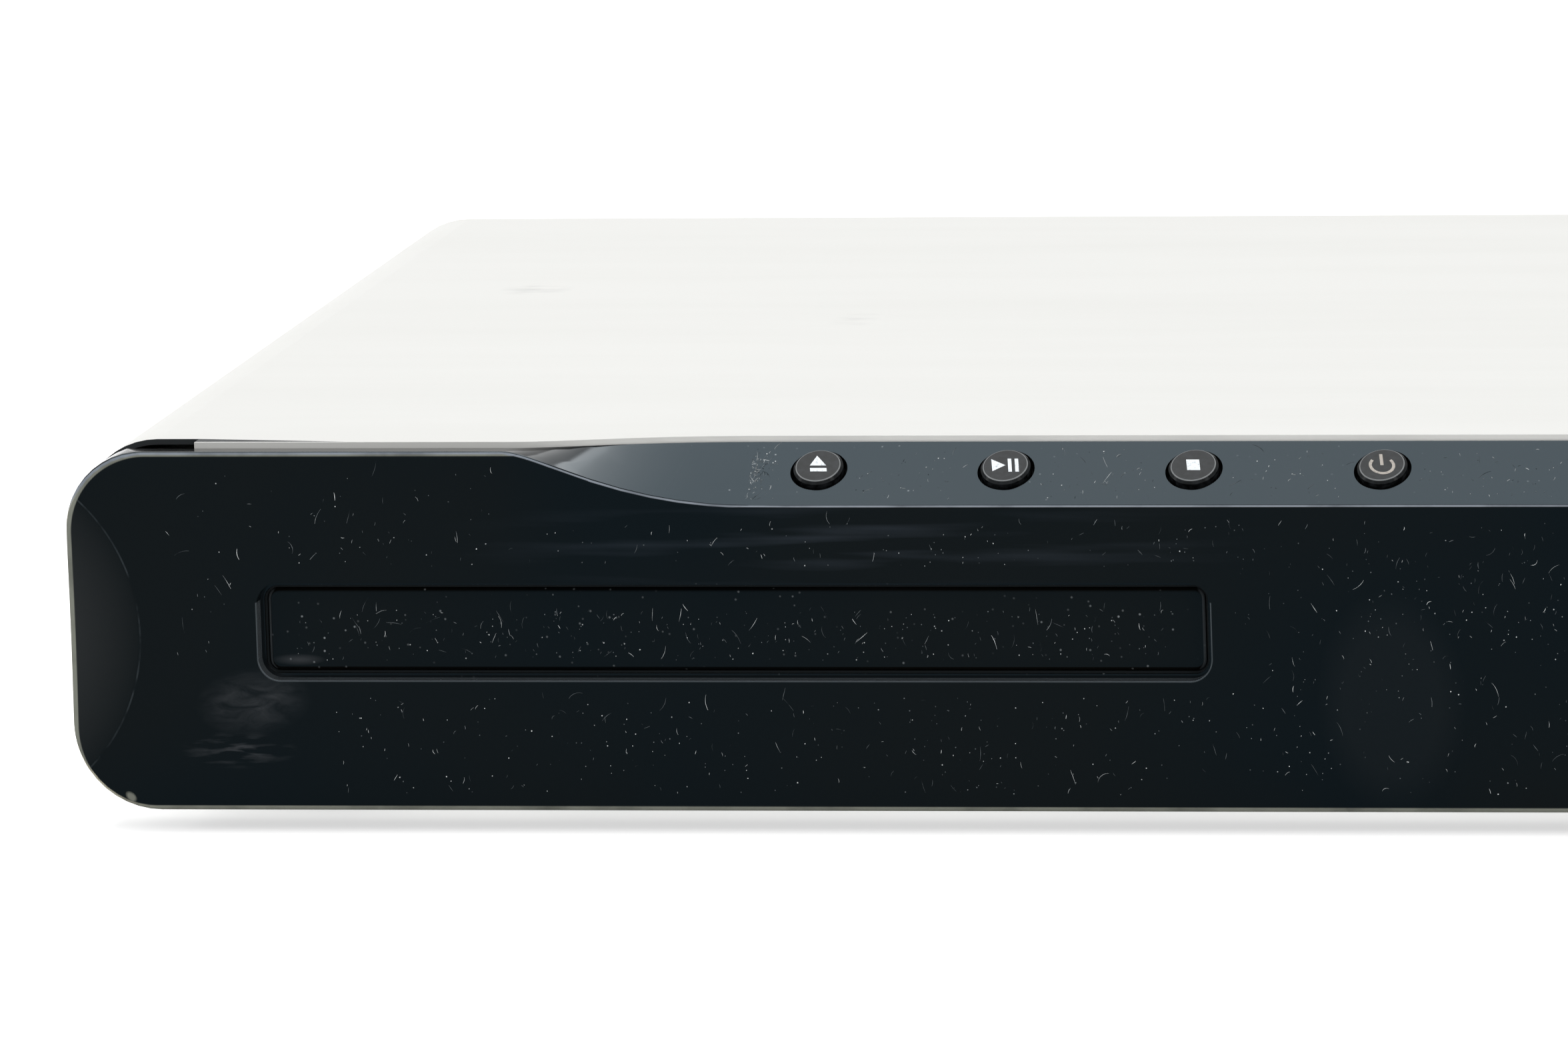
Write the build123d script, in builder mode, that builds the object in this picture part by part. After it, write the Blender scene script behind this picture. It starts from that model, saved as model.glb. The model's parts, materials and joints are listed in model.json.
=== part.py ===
"""Compact disc player with a loading tray, built as the separate pieces it comes apart into.

Frame: +X to the right as seen from the front, +Y to the rear, +Z up. The origin is at the
bottom centre of the whole player. Depths are counted from the front face to the rear.
"""

import math
import os

from build123d import *

os.makedirs("parts", exist_ok=True)

# ---------------------------------------------------------------- case
WIDTH = 360.0
CASE_DEPTH = 230.0
JACK_PROUD = 8.0
PANEL_HEIGHT = 53.8
FOOT_HEIGHT = 3.5
SEAM = 0.4
RUNNING_GAP = 0.3
SHAFT_CLEARANCE = 0.07

# ---------------------------------------------------------------- front panel
PANEL_WALL = 2.4
PANEL_TOP_RADIUS = 11.8
PANEL_BOTTOM_RADIUS = 13.0
PANEL_EDGE_RADIUS = 0.6
PANEL_LIP_RADIUS = 0.5
LIP_FALL = 0.55
END_DEPTH = 6.4
MIDDLE_DEPTH = 11.6
SKIRT_JOINT = 13.4
SCOOP_START = 66.3
SCOOP_LENGTH = 37.0
SCOOP_DROP = 8.25
SCOOP_LEAD = 4.7
SCOOP_TAIL = 20.3
END_DISH_RADIUS = 27.9
END_DISH_OFFSET = 17.2
END_DISH_HEIGHT = 26.3
END_DISH_SLOPE = 4.3

# ---------------------------------------------------------------- tray door and its recess
LOADER_CENTRE = 100.0
DOOR_BEYOND_TRAY = 2.4
DOOR_HEIGHT = 12.4
DOOR_THICKNESS = 3.0
DOOR_RADIUS = 1.7
DOOR_SETBACK = 2.6
DOOR_LEVEL = 20.6
DOOR_GAP = 0.35
RECESS_FLARE = 0.75
RECESS_RADIUS = 3.3
COLLAR_WALL = 1.5
COLLAR_DEPTH = 5.6

# ---------------------------------------------------------------- display window and sockets in front
WINDOW_CENTRE = 262.0
WINDOW_WIDTH = 62.0
WINDOW_HEIGHT = 13.0
WINDOW_LEVEL = 20.3
WINDOW_THICKNESS = 1.6
WINDOW_LEDGE = 1.5
USB_CENTRE = 325.0
USB_LEVEL = 26.8
USB_WIDTH = 13.2
USB_HEIGHT = 5.8
USB_SHELL = 0.5

# ---------------------------------------------------------------- buttons
BUTTON_NAMES = ("eject", "play", "stop", "power")
BUTTON_FIRST = 112.6
BUTTON_PITCH = 28.0
BUTTON_PLACE = 0.555
BUTTON_DIAMETER = 7.4
BUTTON_HOLE = 8.5
BUTTON_PROUD = 1.0
BUTTON_CROWN = 0.45
BUTTON_FLANGE = 10.4
BUTTON_FLANGE_THICKNESS = 1.0
BUTTON_STEM = 4.0
BUTTON_TRAVEL = 0.6
FACET_WALL = 2.2
GUIDE_DEPTH = 5.0
GUIDE_THICKNESS = 1.4
KEY_BOARD_DEPTH = 9.0
BOARD_THICKNESS = 1.6

# ---------------------------------------------------------------- sheet metal
COVER_THICKNESS = 0.8
COVER_RISE = 0.3
COVER_LIP = 3.4
COVER_LIP_END = 18.4
COVER_NOTCH = 3.0
SIDE_SCREW_FRONT = 66.0
SIDE_SCREW_REAR = 48.0
REAR_LIP = 8.0
PAN_THICKNESS = 1.0
PAN_FLANGE = 26.0
PAN_FRONT_FLANGE = 7.0
REAR_PLATE_THICKNESS = 1.0
REAR_PLATE_INSET = 1.2
FOOT_DIAMETER = 20.0
FOOT_PEG = 6.0
FOOT_INSET = 34.0
FOOT_FRONT = 30.0
FOOT_REAR_INSET = 32.0
STANDOFF = 5.0
STANDOFF_DIAMETER = 6.5
SCREW_DIAMETER = 3.0
SCREW_HEAD = 5.6
SCREW_HEAD_HEIGHT = 1.6
VENT_WIDTH = 2.2
VENT_LENGTH = 22.0
VENT_PITCH = 6.0
VENT_COUNT = 14

# ---------------------------------------------------------------- loader frame and tray
FRAME_FRONT = 14.0
FRAME_REAR = 178.0
FRAME_WALL = 2.6
FRAME_FLOOR = 2.0
FRAME_STAND = 2.0
FRAME_OVER_TRAY = 1.8
FRAME_LUG = 9.0
PLATFORM_HEIGHT = 13.0
PLATFORM_THICKNESS = 2.0
PLATFORM_REAR = 44.2
LEDGE_WIDTH = 4.3
TAB_REACH = 3.0
TRAY_REAR = 170.0
TRAY_RIM = 7.2
TRAY_BELOW_DOOR = 1.1
SKIRT_HEIGHT = 9.4
TRAY_SKIN = 2.0
TRAY_WALL = 2.0
DISC_CENTRE = 76.0
DISC_WELL = 121.6
SMALL_WELL = 82.0
WELL_DEPTH = 3.5
SMALL_WELL_STEP = 1.0
WELL_SKIN = 1.5
SLOT_REACH = 2.0
TRAY_SLOT = 40.0

# ---------------------------------------------------------------- tray drive
RACK_MODULE = 1.0
RACK_LINE = 48.0
RACK_HEIGHT = 2.6
RACK_BACK = 2.4
DRIVE_DEPTH = 30.0
TRAY_PINION_TEETH = 16
DRIVE_MODULE = 0.8
TRAY_WHEEL_TEETH = 30
PULLEY_PINION_TEETH = 12
GEAR_BORE = 3.0
PULLEY_RADIUS = 11.8
PULLEY_FLANGE = 1.2
MOTOR_PULLEY_RADIUS = 3.5
MOTOR_SIDE = 24.0
MOTOR_DIAMETER = 24.4
MOTOR_HEIGHT = 12.2
MOTOR_SHAFT = 2.0
BELT_THICKNESS = 1.0
BELT_WIDTH = 1.6
BELT_CLEARANCE = 0.15
PULLEY_HEIGHT = 3.4
LEVEL_GAP = 0.4

# ---------------------------------------------------------------- lifting deck and disc drive
PIVOT_DEPTH = 154.0
PIVOT_HEIGHT = 11.5
PIVOT_DIAMETER = 5.0
DECK_HALF = 36.0
DECK_HEIGHT = 16.0
DECK_THICKNESS = 2.5
DECK_FRONT = 48.0
DECK_REAR = 158.0
DECK_TILT = 6.0
CAM_TRAVEL = 14.0
CAM_THICKNESS = 2.5
CAM_PIN = 3.0
CAM_PIN_SIDE = 18.0
CAM_SLOT_CLEARANCE = 0.4
DISC_LIFT = 2.7
TURNTABLE_DIAMETER = 30.0
HUB_DIAMETER = 14.6
SPINDLE_MOTOR_DIAMETER = 26.0
SPINDLE_MOTOR_HEIGHT = 5.2
CLAMP_DIAMETER = 30.0
CLAMP_NECK = 22.0
BRIDGE_LEG = 2.4
BRIDGE_THICKNESS = 2.0
DISC_THICKNESS = 1.2

# ---------------------------------------------------------------- laser sled
SLED_FRONT = 94.0
SLED_LENGTH = 22.0
SLED_TRAVEL = 33.0
SLED_HEIGHT = 4.9
ROD_SIDE = 24.0
ROD_DIAMETER = 3.0
ROD_HEIGHT = 2.1
ROD_FRONT = 91.0
ROD_REAR = 152.0
SLED_RACK_LINE = 33.0
SLED_MODULE = 0.6
SLED_PINION_TEETH = 12
SLED_WHEEL_MODULE = 0.5
SLED_WHEEL_TEETH = 36
SLED_MOTOR_TEETH = 10
SLED_GEAR_DEPTH = 112.0

# ---------------------------------------------------------------- boards and sockets at the rear
BOARD_MARGIN = 5.0
BOARD_EDGE_GAP = 8.0
BOARD_SPACING = 6.0
LUG_CLEARANCE = 0.1
MAIN_BOARD_LENGTH = 104.0
POWER_BOARD_SIZE = (66.0, 136.0)
FRONT_BOARD_REACH = (104.0, 26.0)
FRONT_BOARD_LEVELS = (8.0, 46.0)
BOSS_INSET = 6.0
CHIP_SIDE = 24.0
SINK_SIDE = 26.0
FRONT_BOARD_SETBACK = 8.4
JACK_SPACING = 14.0
JACK_BARREL = 8.4
JACK_BORE = 3.4
JACK_ROWS = 2
JACK_COLUMNS = 3
CABLE_WIDTH = 16.0
CABLE_THICKNESS = 0.3
CABLE_SOCKET_DEPTH = 6.0
CABLE_ABOVE_BOARD = 0.8
INLET_WIDTH = 21.0
INLET_HEIGHT = 14.5

# ---------------------------------------------------------------- derived places
DEPTH = CASE_DEPTH + JACK_PROUD
TRAY_WIDTH = DISC_WELL + 2 * TRAY_RIM
DOOR_WIDTH = TRAY_WIDTH + 2 * DOOR_BEYOND_TRAY
FRAME_INNER = TRAY_WIDTH / 2 + RUNNING_GAP
FRONT = -DEPTH / 2
LEFT = -WIDTH / 2
BASE = FOOT_HEIGHT
TOP = BASE + PANEL_HEIGHT
PAN_FLOOR = BASE + PAN_THICKNESS
LOADER_X = LEFT + LOADER_CENTRE
COVER_TOP = TOP + COVER_RISE
SCOOP_END = SCOOP_START + SCOOP_LENGTH
BOARD_LEVEL = PAN_FLOOR + STANDOFF
TRAY_TOP = BASE + DOOR_LEVEL + DOOR_HEIGHT - TRAY_BELOW_DOOR
WELL_FLOOR = TRAY_TOP - WELL_DEPTH
WELL_UNDERSIDE = WELL_FLOOR - SMALL_WELL_STEP - WELL_SKIN
SKIRT_FOOT = TRAY_TOP - SKIRT_HEIGHT
LEDGE_TOP = SKIRT_FOOT - RUNNING_GAP
FRAME_LEVEL = PAN_FLOOR + FRAME_STAND
FRAME_TOP = TRAY_TOP + FRAME_OVER_TRAY
FRAME_OUTER = FRAME_INNER + FRAME_WALL
PLATFORM_TOP = FRAME_LEVEL + PLATFORM_HEIGHT
PIVOT_LEVEL = FRAME_LEVEL + PIVOT_HEIGHT
DECK_TOP = FRAME_LEVEL + DECK_HEIGHT
DISC_PLANE = WELL_FLOOR + DISC_LIFT
BRIDGE_FOOT = FRAME_TOP + BRIDGE_LEG
BRIDGE_TOP = BRIDGE_FOOT + BRIDGE_THICKNESS
SLED_TOP = DECK_TOP + SLED_HEIGHT
ROD_LEVEL = DECK_TOP + ROD_HEIGHT
TRAY_FRONT = DOOR_SETBACK + DOOR_THICKNESS
BOARDS_REAR = CASE_DEPTH - BOARD_EDGE_GAP
POWER_BOARD_RIGHT = WIDTH / 2 - BOARD_EDGE_GAP
POWER_BOARD_LEFT = POWER_BOARD_RIGHT - POWER_BOARD_SIZE[0]
POWER_BOARD = (POWER_BOARD_LEFT, POWER_BOARD_RIGHT, BOARDS_REAR - POWER_BOARD_SIZE[1], BOARDS_REAR)
MAIN_BOARD_LEFT = LOADER_X + FRAME_OUTER + FRAME_LUG + LUG_CLEARANCE
MAIN_BOARD = (
    MAIN_BOARD_LEFT, POWER_BOARD_LEFT - BOARD_SPACING, BOARDS_REAR - MAIN_BOARD_LENGTH, BOARDS_REAR
)


def upright(depth):
    """Upright plane at a depth behind the front face, seen from the front."""
    return Plane(origin=(0, FRONT + depth, 0), x_dir=(1, 0, 0), z_dir=(0, -1, 0))


def loader(across, depth):
    """Place in plan, counted from the loader's middle and from the front face."""
    return (LOADER_X + across, FRONT + depth)


def level(height):
    """Level plane at a height above the table."""
    return Plane.XY.offset(height)


def save(builder, name):
    """Label a finished piece and write it under its own name."""
    builder.part.label = name
    export_step(builder.part, f"parts/{name}.step")


def case_outline(inset, radius_top, radius_bottom, low, high):
    """Front view of the case with its rounded corners, drawn smaller by the inset."""
    with BuildSketch(mode=Mode.PRIVATE) as outline:
        with Locations((0, (low + high) / 2)):
            Rectangle(WIDTH - 2 * inset, high - low - 2 * inset)
        if radius_top > inset:
            fillet(outline.vertices().group_by(Axis.Y)[-1], radius_top - inset)
        if radius_bottom > inset:
            fillet(outline.vertices().group_by(Axis.Y)[0], radius_bottom - inset)
    return outline.sketch


def gear_outline(module, teeth, turn=0.0, thinning=0.04):
    """Straight-flanked gear outline; one tooth points along +X before the turn."""
    pitch = module * teeth / 2
    root = pitch - 1.2 * module
    tip = pitch + 0.9 * module
    step = 360.0 / teeth
    flanks = ((root, -0.36), (tip, -0.13 + thinning), (tip, 0.13 - thinning), (root, 0.36))
    points = []
    for tooth in range(teeth):
        for radius, share in flanks:
            angle = math.radians(turn + (tooth + share) * step)
            points.append((radius * math.cos(angle), radius * math.sin(angle)))
    with BuildSketch(mode=Mode.PRIVATE) as outline:
        with BuildLine():
            Polyline(*points, close=True)
        make_face()
    return outline.sketch


def rack_outline(module, pitch_line, back, start, end, phase, side):
    """Rack along Y in plan view; its teeth point along X to the side given as +1 or -1."""
    pitch = math.pi * module
    points = [(pitch_line - side * (1.2 * module + back), start)]
    points.append((pitch_line - side * 1.2 * module, start))
    first = math.ceil((start - phase) / pitch + 0.5)
    last = math.floor((end - phase) / pitch - 0.5)
    for tooth in range(first, last + 1):
        centre = phase + tooth * pitch
        for reach, share in ((-1.2, -0.36), (0.9, -0.11), (0.9, 0.11), (-1.2, 0.36)):
            points.append((pitch_line + side * reach * module, centre + share * pitch))
    points.append((pitch_line - side * 1.2 * module, end))
    points.append((pitch_line - side * (1.2 * module + back), end))
    with BuildSketch(mode=Mode.PRIVATE) as outline:
        with BuildLine():
            Polyline(*points, close=True)
        make_face()
    return outline.sketch


# ---------------------------------------------------------------- the S-shaped scoop across the top
def mirrored(points):
    """The same points on the other half of the case, in the opposite order."""
    return [(WIDTH - across, depth, height) for across, depth, height in reversed(points)]


def place(points):
    """Points counted from the left end, the front face and the table, in the player's frame."""
    return [(LEFT + across, FRONT + depth, height) for across, depth, height in points]


lip_curve = [
    (SCOOP_START, 0.0, TOP),
    (SCOOP_START + SCOOP_LEAD, 0.0, TOP),
    (SCOOP_END - SCOOP_TAIL, 0.0, TOP - SCOOP_DROP),
    (SCOOP_END, 0.0, TOP - SCOOP_DROP),
]
rear_curve = [
    (SCOOP_START, END_DEPTH, TOP - LIP_FALL),
    (SCOOP_START + 2 * SCOOP_LEAD, END_DEPTH, TOP - LIP_FALL),
    (SCOOP_END - SCOOP_TAIL, MIDDLE_DEPTH, TOP - LIP_FALL),
    (SCOOP_END, MIDDLE_DEPTH, TOP - LIP_FALL),
]
lip_spans = [
    [(-1.0, 0.0, TOP), lip_curve[0]],
    lip_curve,
    [lip_curve[-1], (WIDTH - SCOOP_END, 0.0, TOP - SCOOP_DROP)],
    mirrored(lip_curve),
    [(WIDTH - SCOOP_START, 0.0, TOP), (WIDTH + 1.0, 0.0, TOP)],
]
rear_spans = [
    [(-1.0, END_DEPTH, TOP - LIP_FALL), rear_curve[0]],
    rear_curve,
    [rear_curve[-1], (WIDTH - SCOOP_END, MIDDLE_DEPTH, TOP - LIP_FALL)],
    mirrored(rear_curve),
    [(WIDTH - SCOOP_START, END_DEPTH, TOP - LIP_FALL), (WIDTH + 1.0, END_DEPTH, TOP - LIP_FALL)],
]


def beyond(near, far, share):
    """Points carried past the near set, away from the far set, by a share of their distance."""
    return [tuple(n + share * (n - f) for n, f in zip(a, b)) for a, b in zip(near, far)]


def top_surface_cutter():
    """Everything above the lip and the button facet, as one solid."""
    with BuildPart(mode=Mode.PRIVATE) as cutter:
        for lip, rear in zip(lip_spans, rear_spans):
            front_edge = Bezier(*place(beyond(lip, rear, 0.1)))
            rear_edge = Bezier(*place(beyond(rear, lip, 0.3)))
            surface = Face.make_surface_from_curves(front_edge, rear_edge)
            extrude(surface, amount=2 * SCOOP_DROP, dir=(0, 0, 1))
    return cutter.part


def rear_trim(shift, thickness):
    """Plan view of the band behind the panel's S-shaped rear edge, that far behind it."""
    with BuildSketch(mode=Mode.PRIVATE) as band:
        with BuildLine():
            near = [[(x, y + shift) for x, y, z in place(span)] for span in rear_spans]
            for span in near:
                Bezier(*span)
            far_y = FRONT + MIDDLE_DEPTH + shift + thickness
            Polyline(near[-1][-1], (near[-1][-1][0], far_y), (near[0][0][0], far_y), near[0][0])
        make_face()
    return band.sketch


def front_strip(shift):
    """Plan view of all that lies in front of a line that far behind the panel's rear edge."""
    with BuildSketch(mode=Mode.PRIVATE) as strip:
        with BuildLine():
            near = [[(x, y + shift) for x, y, z in place(span)] for span in rear_spans]
            for span in near:
                Bezier(*span)
            front_y = FRONT - 1.0
            Polyline(near[-1][-1], (near[-1][-1][0], front_y), (near[0][0][0], front_y), near[0][0])
        make_face()
    return strip.sketch


facet_angle = math.degrees(math.atan2(SCOOP_DROP - LIP_FALL, MIDDLE_DEPTH))
facet_normal = (0, -math.sin(math.radians(facet_angle)), math.cos(math.radians(facet_angle)))
facet_mid_y = FRONT + BUTTON_PLACE * MIDDLE_DEPTH
facet_mid_z = TOP - SCOOP_DROP + BUTTON_PLACE * (SCOOP_DROP - LIP_FALL)
button_places = [BUTTON_FIRST + BUTTON_PITCH * number for number in range(len(BUTTON_NAMES))]


def facet_plane(across, below=0.0):
    """Plane on the button facet at a place counted from the left end, sunk below its face."""
    origin = (LEFT + across, facet_mid_y, facet_mid_z)
    return Plane(origin=origin, x_dir=(1, 0, 0), z_dir=facet_normal).offset(-below)


# ---------------------------------------------------------------- front panel
top_cutter = top_surface_cutter()
inner_cutter = Pos(0, 0, -FACET_WALL / math.cos(math.radians(facet_angle))) * top_cutter
collar_low = BASE + DOOR_LEVEL - DOOR_GAP
collar_high = BASE + DOOR_LEVEL + DOOR_HEIGHT + DOOR_GAP
collar_mid = (collar_low + collar_high) / 2
collar_width = DOOR_WIDTH + 2 * DOOR_GAP
dish_fall = math.tan(math.radians(END_DISH_SLOPE))
window_mid = BASE + WINDOW_LEVEL + WINDOW_HEIGHT / 2
post_places = [BUTTON_FIRST + BUTTON_PITCH * (number - 0.5) for number in range(len(BUTTON_NAMES) + 1)]
front_board_x = (LEFT + USB_CENTRE - FRONT_BOARD_REACH[0], LEFT + USB_CENTRE + FRONT_BOARD_REACH[1])
front_board_z = (BASE + FRONT_BOARD_LEVELS[0], BASE + FRONT_BOARD_LEVELS[1])
boss_places = [
    (x, z)
    for z in (front_board_z[0] + BOSS_INSET, front_board_z[1] - BOSS_INSET)
    for x in (front_board_x[0] + BOSS_INSET, front_board_x[1] - BOSS_INSET)
]

with BuildPart() as panel_hollow:
    with BuildSketch(upright(PANEL_WALL)):
        add(case_outline(PANEL_WALL, PANEL_TOP_RADIUS, PANEL_BOTTOM_RADIUS, BASE, TOP))
    extrude(amount=-2 * MIDDLE_DEPTH)
    add(inner_cutter, mode=Mode.SUBTRACT)

with BuildPart() as front_panel:
    with BuildSketch(upright(0)):
        add(case_outline(0, PANEL_TOP_RADIUS, PANEL_BOTTOM_RADIUS, BASE, TOP))
    extrude(amount=-MIDDLE_DEPTH)
    add(top_cutter, mode=Mode.SUBTRACT)
    with BuildSketch(level(BASE + SKIRT_JOINT)):
        add(rear_trim(0, 2 * MIDDLE_DEPTH))
    extrude(amount=PANEL_HEIGHT, mode=Mode.SUBTRACT)
    front_rim = front_panel.faces().sort_by(Axis.Y)[0].outer_wire().edges()
    fillet(front_rim.sort_by(Axis.Z)[0], PANEL_EDGE_RADIUS)
    front_rim = front_panel.faces().sort_by(Axis.Y)[0].outer_wire().edges()
    fillet(front_rim.sort_by(Axis.Z)[-1], PANEL_LIP_RADIUS)
    add(panel_hollow.part, mode=Mode.SUBTRACT)
    for side in (-1, 1):
        dish_x = side * (WIDTH / 2 + END_DISH_OFFSET)
        with BuildSketch(level(BASE + END_DISH_HEIGHT)):
            with BuildLine():
                Polyline(
                    (dish_x, FRONT - 1.0),
                    (dish_x - side * (END_DISH_RADIUS + 1.0 / dish_fall), FRONT - 1.0),
                    (dish_x, FRONT + END_DISH_RADIUS * dish_fall),
                    close=True,
                )
            make_face()
        dish_axis = Axis((dish_x, FRONT, BASE + END_DISH_HEIGHT), (0, 1, 0))
        revolve(axis=dish_axis, mode=Mode.SUBTRACT)
    with BuildSketch(upright(PANEL_WALL - 0.1)):
        with Locations((LOADER_X, collar_mid)):
            RectangleRounded(collar_width + 2 * COLLAR_WALL, collar_high - collar_low + 2 * COLLAR_WALL,
                             DOOR_RADIUS + DOOR_GAP + COLLAR_WALL)
    extrude(amount=-(COLLAR_DEPTH - PANEL_WALL + 0.1))
    with BuildSketch(upright(0)):
        with Locations((LOADER_X, collar_mid)):
            RectangleRounded(collar_width, collar_high - collar_low, DOOR_RADIUS + DOOR_GAP)
    extrude(amount=-COLLAR_DEPTH, mode=Mode.SUBTRACT)
    with BuildSketch(upright(0)) as recess_mouth:
        with Locations((LOADER_X, collar_mid)):
            RectangleRounded(collar_width + 2 * RECESS_FLARE, collar_high - collar_low + 2 * RECESS_FLARE,
                             RECESS_RADIUS)
    with BuildSketch(upright(DOOR_SETBACK)) as recess_throat:
        with Locations((LOADER_X, collar_mid)):
            RectangleRounded(collar_width, collar_high - collar_low, DOOR_RADIUS + DOOR_GAP)
    loft([recess_mouth.sketch, recess_throat.sketch], mode=Mode.SUBTRACT)
    with BuildSketch(upright(0)):
        with Locations((LEFT + WINDOW_CENTRE, window_mid)):
            Rectangle(WINDOW_WIDTH - 2 * WINDOW_LEDGE, WINDOW_HEIGHT - 2 * WINDOW_LEDGE)
    extrude(amount=-PANEL_WALL, mode=Mode.SUBTRACT)
    with BuildSketch(upright(0)):
        with Locations((LEFT + WINDOW_CENTRE, window_mid)):
            RectangleRounded(WINDOW_WIDTH, WINDOW_HEIGHT, DOOR_RADIUS)
    extrude(amount=-WINDOW_THICKNESS, mode=Mode.SUBTRACT)
    with BuildSketch(upright(0)):
        with Locations((LEFT + USB_CENTRE, BASE + USB_LEVEL)):
            Rectangle(USB_WIDTH + 2 * DOOR_GAP, USB_HEIGHT + 2 * DOOR_GAP)
    extrude(amount=-PANEL_WALL, mode=Mode.SUBTRACT)
    with BuildSketch(upright(PANEL_WALL)):
        with Locations(*boss_places):
            Circle(STANDOFF_DIAMETER / 2)
            Circle(SCREW_DIAMETER / 2, mode=Mode.SUBTRACT)
    extrude(amount=-(FRONT_BOARD_SETBACK - PANEL_WALL))
    for across in button_places:
        with BuildSketch(facet_plane(across)):
            Circle(BUTTON_HOLE / 2)
        extrude(amount=FACET_WALL + 1.0, both=True, mode=Mode.SUBTRACT)
    for across in post_places:
        with BuildSketch(facet_plane(across, FACET_WALL - 0.1)):
            Circle(BUTTON_STEM / 2)
        extrude(amount=-(GUIDE_DEPTH - FACET_WALL + 0.1))
save(front_panel, "front_panel")


# ---------------------------------------------------------------- display window
with BuildPart() as display_window:
    with BuildSketch(upright(0)):
        with Locations((LEFT + WINDOW_CENTRE, window_mid)):
            RectangleRounded(WINDOW_WIDTH - 0.2, WINDOW_HEIGHT - 0.2, DOOR_RADIUS)
    extrude(amount=-WINDOW_THICKNESS)
save(display_window, "display_window")

# ---------------------------------------------------------------- tray door
door_mid = BASE + DOOR_LEVEL + DOOR_HEIGHT / 2
with BuildPart() as tray_door:
    with BuildSketch(upright(DOOR_SETBACK)):
        with Locations((LOADER_X, door_mid)):
            RectangleRounded(DOOR_WIDTH, DOOR_HEIGHT, DOOR_RADIUS)
    extrude(amount=-DOOR_THICKNESS)
    fillet(tray_door.faces().sort_by(Axis.Y)[0].edges(), 0.4 * DOOR_RADIUS)
    with BuildSketch(upright(TRAY_FRONT)):
        with Locations((LOADER_X, door_mid)):
            Rectangle(DOOR_WIDTH - 4 * TRAY_WALL, DOOR_HEIGHT - 2 * TRAY_WALL)
        with GridLocations(DOOR_WIDTH / 5, 0, 4, 1):
            with Locations((LOADER_X, door_mid)):
                Rectangle(TRAY_WALL, DOOR_HEIGHT - 2 * TRAY_WALL, mode=Mode.SUBTRACT)
    extrude(amount=DOOR_THICKNESS / 2, mode=Mode.SUBTRACT)
save(tray_door, "tray_door")

# ---------------------------------------------------------------- buttons on the facet
button_top = -BUTTON_PROUD
flange_top = FACET_WALL + RUNNING_GAP
stem_end = KEY_BOARD_DEPTH - 2 * RUNNING_GAP - BUTTON_TRAVEL - 1.4
for name, across in zip(BUTTON_NAMES, button_places):
    with BuildPart() as button:
        with BuildSketch(facet_plane(across, button_top)):
            Circle(BUTTON_DIAMETER / 2)
        extrude(amount=-(flange_top - button_top))
        chamfer(button.faces().sort_by(Axis.Z)[-1].edges(), BUTTON_CROWN)
        with BuildSketch(facet_plane(across, flange_top)):
            Circle(BUTTON_FLANGE / 2)
        extrude(amount=-BUTTON_FLANGE_THICKNESS)
        with BuildSketch(facet_plane(across, flange_top + BUTTON_FLANGE_THICKNESS)):
            Circle(BUTTON_STEM / 2)
        extrude(amount=-(stem_end - flange_top - BUTTON_FLANGE_THICKNESS))
    save(button, f"{name}_button")

guide_length = BUTTON_PITCH * len(BUTTON_NAMES) + 2 * BUTTON_STEM
guide_width = 12.0
keys_middle = BUTTON_FIRST + BUTTON_PITCH * (len(BUTTON_NAMES) - 1) / 2
key_offsets = [across - keys_middle for across in button_places]
post_offsets = [across - keys_middle for across in post_places]
with BuildPart() as button_guide:
    with BuildSketch(facet_plane(keys_middle, GUIDE_DEPTH)):
        Rectangle(guide_length, guide_width)
        with Locations(*[(offset, 0) for offset in key_offsets]):
            Circle(BUTTON_STEM / 2 + RUNNING_GAP, mode=Mode.SUBTRACT)
    extrude(amount=-GUIDE_THICKNESS)
    with BuildSketch(facet_plane(keys_middle, GUIDE_DEPTH + GUIDE_THICKNESS)):
        with Locations(*[(offset, 0) for offset in post_offsets]):
            Circle(BUTTON_STEM / 2)
    extrude(amount=-(KEY_BOARD_DEPTH - GUIDE_DEPTH - GUIDE_THICKNESS))
save(button_guide, "button_guide")

with BuildPart() as key_board:
    with BuildSketch(facet_plane(keys_middle, KEY_BOARD_DEPTH)):
        Rectangle(guide_length, guide_width)
    extrude(amount=-BOARD_THICKNESS)
save(key_board, "key_board")

with BuildPart() as key_switches:
    for offset in key_offsets:
        with BuildSketch(facet_plane(keys_middle + offset, KEY_BOARD_DEPTH)):
            Rectangle(6.0, 6.0)
        extrude(amount=1.1)
        with BuildSketch(facet_plane(keys_middle + offset, KEY_BOARD_DEPTH - 1.1)):
            Circle(1.6)
        extrude(amount=0.3)
save(key_switches, "key_switches")

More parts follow.
